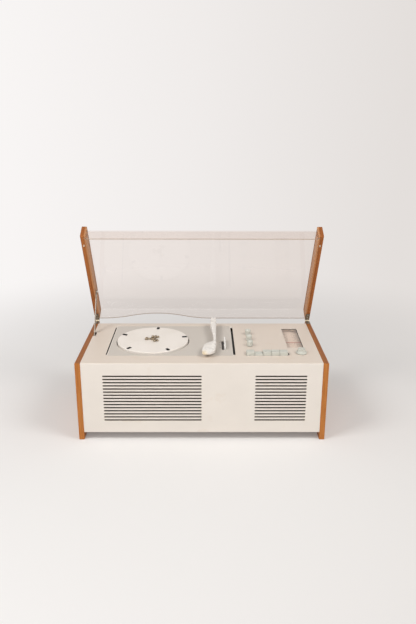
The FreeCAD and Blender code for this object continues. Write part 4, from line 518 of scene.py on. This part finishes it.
def valve_glass():
    """Valve bulbs with a silvered top."""
    look, tree, shader = finish("valve_bulb", (0.75, 0.77, 0.76), 0.12, Transmission_Weight=0.35)
    coords = node(tree, "TexCoord").outputs["Object"]
    height = node(tree, "SeparateXYZ", {0: coords}).outputs["Z"]
    silver = spread(tree, height, *(z * MM for z in SILVERED))
    base = ramp(tree, silver, (0.0, (0.30, 0.31, 0.31)), (1.0, (0.82, 0.83, 0.84)))
    cloud = pattern(tree, (0.006, 0.006, 0.012), (0, 0, 0), 4.0)
    wire(tree, shader, base, spread(tree, cloud, 0.3, 0.7, 0.08, 0.22))
    return look


cheek_wood = wood("cheek_wood", (0, 0, 0), (0.55, 0.212, 0.05), (0.33, 0.10, 0.02))
lid_wood = wood("lid_wood", LID_TURN, (0.49, 0.168, 0.040), (0.285, 0.08, 0.017), (0.59, 0.33, 0.17))
pine = wood("raw_pine", (0, 0, 0), (0.66, 0.47, 0.27), (0.52, 0.33, 0.16))
case_paint = paint("case_enamel", (0.805, 0.745, 0.68), (0.715, 0.627, 0.545))
plate_paint = paint("plate_enamel", (0.59, 0.545, 0.49), (0.58, 0.534, 0.482), 0.4, 0.0012, 0.3,
                    (PLATE_MIDDLE, PLATE_GLINT_REACH))
platter_paint = turned_paint()
arm_white = arm_finish()
lever_white = plastic("lever_white", (0.88, 0.86, 0.83), 0.28)
grey_plastic = plastic("grey_green_plastic", (0.595, 0.60, 0.54), 0.38)
dark_plastic = plastic("dark_plastic", (0.055, 0.048, 0.045), 0.5)
frame_plastic = plastic("dial_frame_grey", (0.10, 0.085, 0.075), 0.5)
bakelite = plastic("brown_bakelite", (0.045, 0.024, 0.014), 0.32)
drum_plastic = plastic("drum_cream", (0.50, 0.40, 0.26), 0.45)
nylon = plastic("buffer_nylon", (0.66, 0.56, 0.44), 0.4)
rail_paint = plastic("rail_black", (0.028, 0.026, 0.024), 0.55)
steel = metal("zinc_steel", (0.58, 0.55, 0.50), 0.34)
stay_steel = metal("stay_steel", (0.31, 0.27, 0.23), 0.5, (0.0006, 0.0006, 0.03))
bright_steel = metal("bright_steel", (0.66, 0.64, 0.61), 0.22)
iron = metal("dark_iron", (0.16, 0.16, 0.165), 0.5)
brass = metal("aged_brass", (0.52, 0.40, 0.22), 0.34)
nickel_bronze = metal("nickel_bronze", (0.36, 0.30, 0.22), 0.24, (0.0008, 0.0008, 0.0008),
                      stain=(0.45, 0.36, 0.28))
bronze_hinge = hinge_metal()
black_rubber = rubber("black_rubber", (0.016, 0.015, 0.014))
pad_rubber = rubber("pad_rubber", (0.006, 0.005, 0.0045), 0.85)
idler_rubber = rubber("idler_rubber", (0.03, 0.028, 0.026))
hardboard = pressed_board("hardboard", (0.20, 0.105, 0.052))
cone_paper = pressed_board("cone_paper", (0.030, 0.028, 0.026))
grille_cloth = weave("grille_cloth", (0.055, 0.040, 0.034))
acrylic = clear_sheet("clear_acrylic", (0.969, 0.947, 0.933), (0.50, 0.37, 0.26))
dial_glass = clear_sheet("dial_glass", (0.965, 0.955, 0.945))
scale_print = dial_print()
faded_red = plastic("faded_red", (0.54, 0.20, 0.155), 0.4)
mark_ink = plastic("mark_ink", (0.20, 0.145, 0.12), 0.6)
plate_ink = plastic("plate_ink", (0.24, 0.22, 0.20), 0.6)
bulb_glass = valve_glass()

FINISHES = {
    cheek_wood: ("left_cheek", "right_cheek"),
    lid_wood: ("lid_left_cheek", "lid_right_cheek"),
    pine: ("corner_cleats", "speaker_board"),
    case_paint: ("cabinet_shell",),
    plate_paint: ("turntable_plate",),
    platter_paint: ("platter",),
    hardboard: ("bottom_panel", "rear_panel"),
    cone_paper: ("speaker_cone",),
    iron: ("speaker_magnet", "drive_motor", "transformers"),
    acrylic: ("lid_cover",),
    dial_glass: ("dial_window",),
    black_rubber: ("rubber_mounts", "platter_pads", "mains_gland"),
    nylon: ("lid_buffers",),
    bronze_hinge: ("hinge_base_leaves", "hinge_lid_leaves"),
    brass: ("bearing_housing",),
    nickel_bronze: ("single_adaptor", "spindle"),
    arm_white: ("tonearm",),
    lever_white: ("speed_lever",),
    dark_plastic: ("cartridge", "arm_rest"),
    frame_plastic: ("dial_frame",),
    grey_plastic: ("volume_knob", "bass_knob", "treble_knob", "tuning_knob",
                   "push_key_1", "push_key_2", "push_key_3", "push_key_4", "push_key_5"),
    bakelite: ("key_switch", "control_pots", "socket_strip"),
    idler_rubber: ("idler_wheel",),
    scale_print: ("dial_scale",),
    faded_red: ("dial_pointer",),
    drum_plastic: ("tuning_drum",),
    bulb_glass: ("valves",),
    stay_steel: ("lid_stay",),
    bright_steel: ("motor_pulley", "arm_yoke", "arm_pillar"),
    rail_paint: ("plate_rails",),
    steel: ("case_screws", "lid_screws", "radio_chassis", "dial_bracket", "speaker_basket",
            "tuning_capacitor"),
}
for look, names in FINISHES.items():
    for name in names:
        nodes[name].data.materials.clear()
        nodes[name].data.materials.append(look)


# Modelling helpers

def piece(bm, name, body, look, replaced=(), levels=0, turned=False):
    """Finish a shape drawn in millimetres and let it ride on a body.

    Faces are turned outward, unless they have been turned already."""
    bmesh.ops.remove_doubles(bm, verts=bm.verts, dist=WELD)
    if not turned:
        bmesh.ops.recalc_face_normals(bm, faces=bm.faces)
    bmesh.ops.scale(bm, vec=(MM, MM, MM), verts=bm.verts)
    mesh = bpy.data.meshes.new(name)
    bm.to_mesh(mesh)
    bm.free()
    for face in mesh.polygons:
        face.use_smooth = True
    mesh.set_sharp_from_angle(angle=FLAT_ANGLE)
    mesh.materials.append(look)
    thing = bpy.data.objects.new(name, mesh)
    bpy.context.scene.collection.objects.link(thing)
    if levels:
        smooth = thing.modifiers.new("smooth", "SUBSURF")
        smooth.levels = levels
        smooth.render_levels = levels
    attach(thing, body)
    if replaced:
        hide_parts(*replaced)
    return thing


def join(bm, other):
    """Add one drawing to another."""
    mesh = bpy.data.meshes.new("part")
    other.to_mesh(mesh)
    other.free()
    bm.from_mesh(mesh)
    bpy.data.meshes.remove(mesh)


def lathe(bm, profile, centre, steps=48):
    """Turn a profile of radius and height about an upright axis."""
    chain = [bm.verts.new((centre[0] + r, centre[1], centre[2] + z)) for r, z in profile]
    edges = [bm.edges.new(pair) for pair in zip(chain, chain[1:])]
    bmesh.ops.spin(bm, geom=chain + edges, cent=centre, axis=(0, 0, 1), angle=2 * math.pi, steps=steps,
                   use_merge=True)


def block(bm, low, high, bevel=0.0, segments=2):
    """A box between two corners with softened edges."""
    low, high = Vector(low), Vector(high)
    middle = Matrix.Translation((low + high) / 2) @ Matrix.Diagonal((*(high - low), 1))
    verts = bmesh.ops.create_cube(bm, size=1, matrix=middle)["verts"]
    if bevel:
        edges = list(dict.fromkeys(edge for vert in verts for edge in vert.link_edges))
        bmesh.ops.bevel(bm, geom=edges, offset=bevel, segments=segments, profile=0.5, affect="EDGES",
                        material=-1)


def run_sections(bm, sections, corner=0.22, segments=3):
    """Push a rounded cross-section from station to station along Y.

    A station is its Y, its left and right sides and its lowest and highest points."""
    made = bmesh.ops.create_grid(bm, x_segments=1, y_segments=1, size=0.5,
                                 matrix=Matrix.Rotation(math.pi / 2, 4, "X"))
    bmesh.ops.bevel(bm, geom=made["verts"], offset=corner, segments=segments, profile=0.5, affect="VERTICES",
                    material=-1)
    cap = list(bm.faces)[-1]
    width, height, middle = 1.0, 1.0, Vector((0, 0, 0))
    for number, (y, left, right, low, high) in enumerate(sections):
        if number:
            cap = bmesh.ops.extrude_discrete_faces(bm, faces=[cap])["faces"][0]
        target = Vector(((left + right) / 2, y, (low + high) / 2))
        bmesh.ops.scale(bm, vec=((right - left) / width, 1, (high - low) / height), verts=cap.verts,
                        space=Matrix.Translation(-middle))
        bmesh.ops.translate(bm, vec=target - middle, verts=cap.verts)
        width, height, middle = right - left, high - low, target


# Tonearm

def make_tonearm():
    """The arm's tapered tube, its narrow neck and the broad offset head with a scooped top."""
    x, y, low = ARM
    # each station's distance behind the pivot, left and right sides, and lowest and highest points
    shape = (
        (19.5, -5.0, 5.0, 2.6, 13.4),
        (18.5, -6.6, 6.0, 1.2, 15.0),
        (15.0, -8.0, 6.5, 0.4, 15.8),
        (5.0, -8.7, 6.6, 0.0, 15.9),
        (-12.0, -8.9, 6.4, 0.0, 15.3),
        (-34.0, -8.6, 6.1, 0.0, 14.3),
        (-46.0, -7.4, 5.8, 0.0, 13.6),
        (-57.0, -6.0, 5.4, 0.0, 12.9),
        (-96.0, -3.6, 4.8, 0.0, 10.6),
        (-126.0, -2.0, 4.4, 0.0, 8.6),
        (-133.0, -2.6, 4.3, 0.0, 8.5),
        (-138.0, -6.2, 4.3, 0.0, 8.6),
        (-144.0, -13.0, 4.2, 0.0, 8.8),
        (-151.0, -20.2, 4.0, -1.2, 9.0),
        (-157.0, -24.8, 3.7, -2.2, 9.0),
        (-166.0, -27.0, 3.3, -2.2, 9.0),
        (-177.0, -28.6, 2.6, -2.2, 8.8),
        (-188.0, -29.8, 1.0, -2.2, 8.2),
        (-194.0, -30.0, -2.2, -2.1, 7.4),
        (-199.5, -29.0, -7.4, -1.7, 6.4),
        (-202.8, -26.5, -10.5, -1.0, 5.6),
        (-204.6, -22.0, -14.0, 0.4, 4.6),
    )
    bm = bmesh.new()
    run_sections(bm, [(y + away, x + left, x + right, low + base, low + top)
                      for away, left, right, base, top in shape])
    bmesh.ops.subdivide_edges(bm, edges=bm.edges, cuts=1, smooth=0.0, use_grid_fill=True)
    scoop = Vector((x - 10.5, y - 178.0, 0))
    scoop_radius = 16.0
    scoop_depth = 2.6
    head_back = y - 140
    head_side = low + 5.5
    for vert in bm.verts:
        if vert.co.z > head_side and vert.co.y < head_back:
            reach = (Vector((vert.co.x, vert.co.y, 0)) - scoop).length / scoop_radius
            vert.co.z -= scoop_depth * max(0.0, 1 - reach * reach) ** 2
    piece(bm, "tonearm_shell", "pickup_arm", arm_white, ("tonearm",), 1)


# Star adaptor for singles

def make_star():
    """A domed hub with three waisted arms that end in two-pronged feet."""
    bm = bmesh.new()
    bore, hub, top = 3.62, 6.9, 4.5
    profile = [(bore, 0.0), (hub, 0.0), (hub, 3.2), (6.4, 4.1), (5.4, top), (bore, top), (bore, 0.0)]
    lathe(bm, profile, PLATTER, 36)
    prong = 3.7
    half_prong = 2.7
    for turn in (60, 180, 300):
        arm = bmesh.new()
        block(arm, (5.5, -2.4, 0.2), (15.0, 2.4, 3.6), 0.7)
        for side in (-prong, prong):
            block(arm, (12.2, side - half_prong, 0.0), (19.6, side + half_prong, 4.3), 1.3, 3)
        spin = Matrix.Rotation(math.radians(turn), 4, "Z")
        bmesh.ops.transform(arm, matrix=Matrix.Translation(PLATTER) @ spin, verts=arm.verts)
        join(bm, arm)
    piece(bm, "star_adaptor", "turntable", nickel_bronze, ("single_adaptor",))


# Platter pads

def make_pads():
    """Soft-edged rubber pads set round the platter's edge."""
    half_length, half_width = 5.8, 3.2
    sunk, proud = 0.6, 1.5
    low = (PAD_CIRCLE - half_length, -half_width, -sunk)
    high = (PAD_CIRCLE + half_length, half_width, proud)
    bm = bmesh.new()
    for number in range(PAD_COUNT):
        pad = bmesh.new()
        block(pad, low, high, 0.5, 3)
        spin = Matrix.Rotation(math.radians(PAD_TURN + number * 360 / PAD_COUNT), 4, "Z")
        bmesh.ops.transform(pad, matrix=Matrix.Translation(PLATTER) @ spin, verts=pad.verts)
        join(bm, pad)
    piece(bm, "pad_set", "turntable", pad_rubber, ("platter_pads",))


# Knobs, keys and lever

def make_small_knob(name):
    """A smooth knob with a domed top."""
    bm = bmesh.new()
    centre = joint_place(f"{name}_turn", DECK)
    shaft, shaft_end = 3.0, -12.4
    lathe(bm, [(0, 15.25), (2.5, 15.15), (4.8, 14.75), (6.3, 14.0), (7.1, 13.0), (7.4, 11.8), (7.5, 10.4),
               (7.42, 4.0), (7.45, 1.3), (7.1, 0.85), (shaft, 0.8), (shaft, shaft_end), (0, shaft_end)],
          centre, 56)
    piece(bm, f"{name}_knob_cap", name, grey_plastic, (f"{name}_knob",))


def make_tuning_knob():
    """A broad skirt under a fluted cap."""
    bm = bmesh.new()
    shaft, collar, skirt = 3.0, 5.0, 13.0
    shaft_end, collar_end = -34.0, -40.0
    lathe(bm, [(0, 12.3), (4.5, 12.5), (7.4, 12.75), (8.6, 12.2), (9.1, 11.2), (9.5, 7.0), (9.9, 5.0),
               (10.6, 4.5), (12.0, 4.2), (12.8, 3.6), (skirt, 2.9), (skirt, 1.1), (12.7, 0.8), (shaft, 0.8),
               (shaft, shaft_end), (collar, shaft_end), (collar, collar_end), (0, collar_end)], TUNING, 96)
    flutes, flute_depth = 16, 0.9
    inside, outside, base = 8.8, 9.7, DECK + 6
    for vert in bm.verts:
        away = Vector((vert.co.x - TUNING.x, vert.co.y - TUNING.y, 0))
        if inside < away.length < outside and vert.co.z > base:
            flute = 0.5 - 0.5 * math.cos(flutes * math.atan2(away.y, away.x))
            vert.co -= away.normalized() * flute_depth * flute
    piece(bm, "tuning_knob_cap", "tuner", grey_plastic, ("tuning_knob",))


def make_key(number):
    """A push key with rounded edges and a shallow finger dish."""
    solid_key = f"push_key_{number}"
    low, high = corners(solid_key)
    bm = bmesh.new()
    cap_height, rim, slope, dish = 21.0, 1.6, 3.2, 0.55
    base = high.z - cap_height
    block(bm, (low.x, low.y, base), (high.x, high.y, high.z), 1.2, 3)
    top = max(bm.faces, key=lambda face: face.calc_center_median().z)
    bmesh.ops.inset_region(bm, faces=[top], thickness=rim, depth=0.0)
    bmesh.ops.inset_region(bm, faces=[top], thickness=slope, depth=-dish)
    half_width, half_thick, length = 3, 2, 18.0
    x, y, _ = (low + high) / 2
    block(bm, (x - half_width, y - half_thick, base - length), (x + half_width, y + half_thick, base))
    piece(bm, f"key_cap_{number}", f"key_{number}", grey_plastic, (solid_key,))


def make_notch_shade_peg():
    """A dark peg with a stem in the notch beside the last key, as painted shade for the notch's dark inside."""
    low, high = corners("push_key_5")
    corner = Vector((high.x, low.y, DECK))
    # lowest and highest corners, from the front right corner of the key at the deck
    head = ((0.35, 3.4, 0), (3.7, 12.6, 1.3))
    stem = ((0.7, 4.2, -1.4), (2.9, 11.8, 0))
    bm = bmesh.new()
    block(bm, *(corner + Vector(point) for point in head), 0.5, 3)
    block(bm, *(corner + Vector(point) for point in stem), 0.3)
    # The dark peg stands in for the shade inside the notch.
    piece(bm, "notch_shade_peg", "cabinet", dark_plastic)


def make_lever():
    """The speed lever's rounded blade and its shoe under the plate, dark as painted shade in the slot round the
    blade.
    """
    low, high = corners("speed_lever")
    blade = bmesh.new()
    inset = Vector((4, 4.6, 0))
    lift = Vector((0, 0, 1.4))
    block(blade, low + inset, high - inset + lift, 1.1, 3)
    piece(blade, "speed_lever_blade", "speed_control", lever_white, ("speed_lever",))
    # The shoe is dark so that the slot round the blade reads as shade: painted shade.
    shoe = bmesh.new()
    shoe_height = 4.0
    block(shoe, low, (high.x, high.y, low.z + shoe_height), 0.5)
    piece(shoe, "speed_lever_shoe", "speed_control", dark_plastic, ("speed_lever",))


# Printed marks

def letters(bm, words, place, height):
    """Add flat figures, centred on a place."""
    curve = bpy.data.curves.new("figures", "FONT")
    curve.body = words
    curve.size = height
    curve.align_x = "CENTER"
    curve.align_y = "CENTER"
    curve.extrude = LETTER_LIFT
    holder = bpy.data.objects.new("figures", curve)
    bpy.context.scene.collection.objects.link(holder)
    bpy.context.view_layer.update()
    mesh = bpy.data.meshes.new_from_object(holder.evaluated_get(bpy.context.evaluated_depsgraph_get()))
    mesh.transform(Matrix.Translation(place))
    bm.from_mesh(mesh)
    bpy.data.objects.remove(holder)
    bpy.data.curves.remove(curve)
    bpy.data.meshes.remove(mesh)


def make_dial_card():
    """The scale's turned-up rear edge."""
    low, high = corners("dial_scale")
    bm = bmesh.new()
    bend = ((-0.2, 0.0, high.z - low.z), (0.5, 0.0, 4.2), (1.2, 0.6, 7.2), (1.6, 5.0, 7.4))
    run_sections(bm, [(high.y + away, low.x, high.x, low.z + base, low.z + top) for away, base, top in bend],
                 0.1, 2)
    piece(bm, "dial_card", "cabinet", scale_print)


def make_dial_marks():
    """Two rows of ticks and figures along the scale."""
    low, high = corners("dial_window")
    top = corners("dial_scale")[1].z
    bm = bmesh.new()
    rows = ((low.x + 14.5, ("88", "92", "96", "100", "104", "108")),
            (low.x + 34.5, ("5", "6", "8", "10", "13", "16")))
    start, end = low.y + 16.0, high.y - 18.0
    half_line, half_tick = 0.15, 0.12
    long_tick, short_tick, share = 3.2, 1.8, 5
    figure, figure_gap = 4.2, 4.6
    for x, figures in rows:
        block(bm, (x - half_line, start, top), (x + half_line, end, top + INK))
        ticks = share * (len(figures) - 1)
        for number in range(ticks + 1):
            y = start + (end - start) * number / ticks
            length = long_tick if number % share == 0 else short_tick
            block(bm, (x, y - half_tick, top), (x + length, y + half_tick, top + INK))
            if number % share == 0:
                letters(bm, figures[number // share], (x - figure_gap, y, top + LETTER_LIFT), figure)
    piece(bm, "dial_marks", "cabinet", mark_ink)


def make_speed_marks():
    """The four speeds beside the lever's slot."""
    left, back, pitch, figure = 43.5, -31.0, 11.0, 4.6
    bm = bmesh.new()
    for number, words in enumerate(("78", "45", "33", "16")):
        letters(bm, words, (left, back - pitch * number, DECK + LETTER_LIFT), figure)
    piece(bm, "speed_marks", "cabinet", plate_ink)


# Grille cloths

def make_grille(name, left, right):
    """Cloth drawn tight behind the slots, a little slack between the bars."""
    low, high = corners("grille_cloths")
    width, tall = right - left, high.z - low.z
    middle = Vector(((left + right) / 2, (low.y + high.y) / 2, (low.z + high.z) / 2))
    place = Matrix.Translation(middle) @ Matrix.Rotation(math.pi / 2, 4, "X")
    place = place @ Matrix.Diagonal((width, tall, 1, 1))
    bm = bmesh.new()
    bmesh.ops.create_grid(bm, x_segments=24, y_segments=96, size=0.5, matrix=place)
    for vert in bm.verts:
        vert.co.y += CLOTH_SLACK * math.cos((vert.co.z - low.z) * 2 * math.pi / SLOT_PITCH)
    cloth = piece(bm, name, "cabinet", grille_cloth, ("grille_cloths",))
    thread = cloth.modifiers.new("thread", "SOLIDIFY")
    thread.thickness = CLOTH_THREAD * MM
    thread.offset = 0.0


# Screw heads and socket liners

def slotted_head(bm, place, out, radius, height, turn):
    """A round screw head with a milled slot, standing out from a surface."""
    head = bmesh.new()
    half_slot, slot_depth = radius * 0.16, height * 0.55
    bmesh.ops.create_circle(head, cap_ends=True, segments=24, radius=radius)
    for side in (-1, 1):
        whole = head.verts[:] + head.edges[:] + head.faces[:]
        bmesh.ops.bisect_plane(head, geom=whole, plane_co=(side * half_slot, 0, 0), plane_no=(1, 0, 0))
    slot = min(head.faces, key=lambda face: abs(face.calc_center_median().x))
    rim = [edge for edge in head.edges if edge.is_boundary]
    made = bmesh.ops.extrude_edge_only(head, edges=rim)["geom"]
    wall = [item for item in made if isinstance(item, bmesh.types.BMVert)]
    bmesh.ops.translate(head, vec=(0, 0, -height), verts=wall)
    cut = bmesh.ops.extrude_discrete_faces(head, faces=[slot])["faces"][0]
    bmesh.ops.translate(head, vec=(0, 0, -slot_depth), verts=cut.verts)
    # A head is open below, so its faces are turned outward here, about its own middle
    bmesh.ops.recalc_face_normals(head, faces=head.faces)
    aim = Vector(out).to_track_quat("Z", "Y").to_matrix().to_4x4()
    spin = Matrix.Rotation(math.radians(turn), 4, "Z")
    bmesh.ops.transform(head, matrix=Matrix.Translation(place) @ (aim @ spin), verts=head.verts)
    join(bm, head)


def in_lid(y, z):
    """Where a point of the lid is at rest; y and z say how far behind and above the hinge it is when shut."""
    return HINGE + Matrix.Rotation(-LID_OPEN, 3, "X") @ Vector((0, y, z))


def make_screws():
    """Slotted heads over the plain ones that show on the hinges, the back and the underside."""
    case = bmesh.new()
    lid = bmesh.new()
    up = (0, 0, 1)
    down = (0, 0, -1)
    lid_down = Matrix.Rotation(-LID_OPEN, 3, "X") @ Vector(down)
    # radius and height of the heads on the hinges and of those on the panels
    small = (2.2, 0.5)
    large = (3.3, 2.05)
    for side in (-1, 1):
        for number, back in enumerate(LEAF_SCREWS):
            slotted_head(case, (side * CHEEK_X, HINGE.y - back, LEAF_HEAD), up, *small, 25 + 70 * number)
            point = in_lid(-back, LID_LEAF_HEAD)
            slotted_head(lid, (side * CHEEK_X, point.y, point.z), lid_down, *small, 60 - 40 * number)
        for z in REAR_SCREWS:
            slotted_head(case, (side * PANEL_SCREW_X, REAR_SCREW_Y, z), (0, 1, 0), *large, z + 30 * side)
        for y in FLOOR_SCREWS:
            slotted_head(case, (side * PANEL_SCREW_X, y, FLOOR_SCREW_Z), down, *large, y)
    piece(case, "case_screw_heads", "cabinet", steel, turned=True)
    piece(lid, "lid_screw_heads", "lid", steel, turned=True)


def make_socket_liners():
    """Brass liners with a rolled lip in the aerial sockets."""
    face = corners("socket_strip")[1].y
    bore = 1.6
    depth = 7.5
    bm = bmesh.new()
    for mount in frame["record"]["mounts"]:
        if mount["name"].startswith("aerial_socket"):
            x, _, z = (value / MM for value in mount["pos_m"])
            liner = bmesh.new()
            lathe(liner, [(bore, -depth), (1.95, -depth), (1.95, 0.02), (3.1, 0.05), (3.3, 0.25), (3.1, 0.5),
                          (1.9, 0.5), (bore, 0.3), (bore, -depth)], (0, 0, 0), 32)
            place = Matrix.Translation((x, face, z)) @ Matrix.Rotation(-math.pi / 2, 4, "X")
            bmesh.ops.transform(liner, matrix=place, verts=liner.verts)
            join(bm, liner)
    piece(bm, "socket_liners", "cabinet", brass)


set_camera()
set_light()
lay_floor()
make_grille("grille_cloth_left", *LEFT_CLOTH)
make_grille("grille_cloth_right", *RIGHT_CLOTH)
make_screws()
make_socket_liners()
make_tonearm()
make_star()
make_pads()
for name in ("treble", "bass", "volume"):
    make_small_knob(name)
make_tuning_knob()
for number in range(1, 6):
    make_key(number)
make_notch_shade_peg()
make_lever()
make_dial_card()
make_dial_marks()
make_speed_marks()

bpy.context.scene.view_settings.view_transform = "Standard"
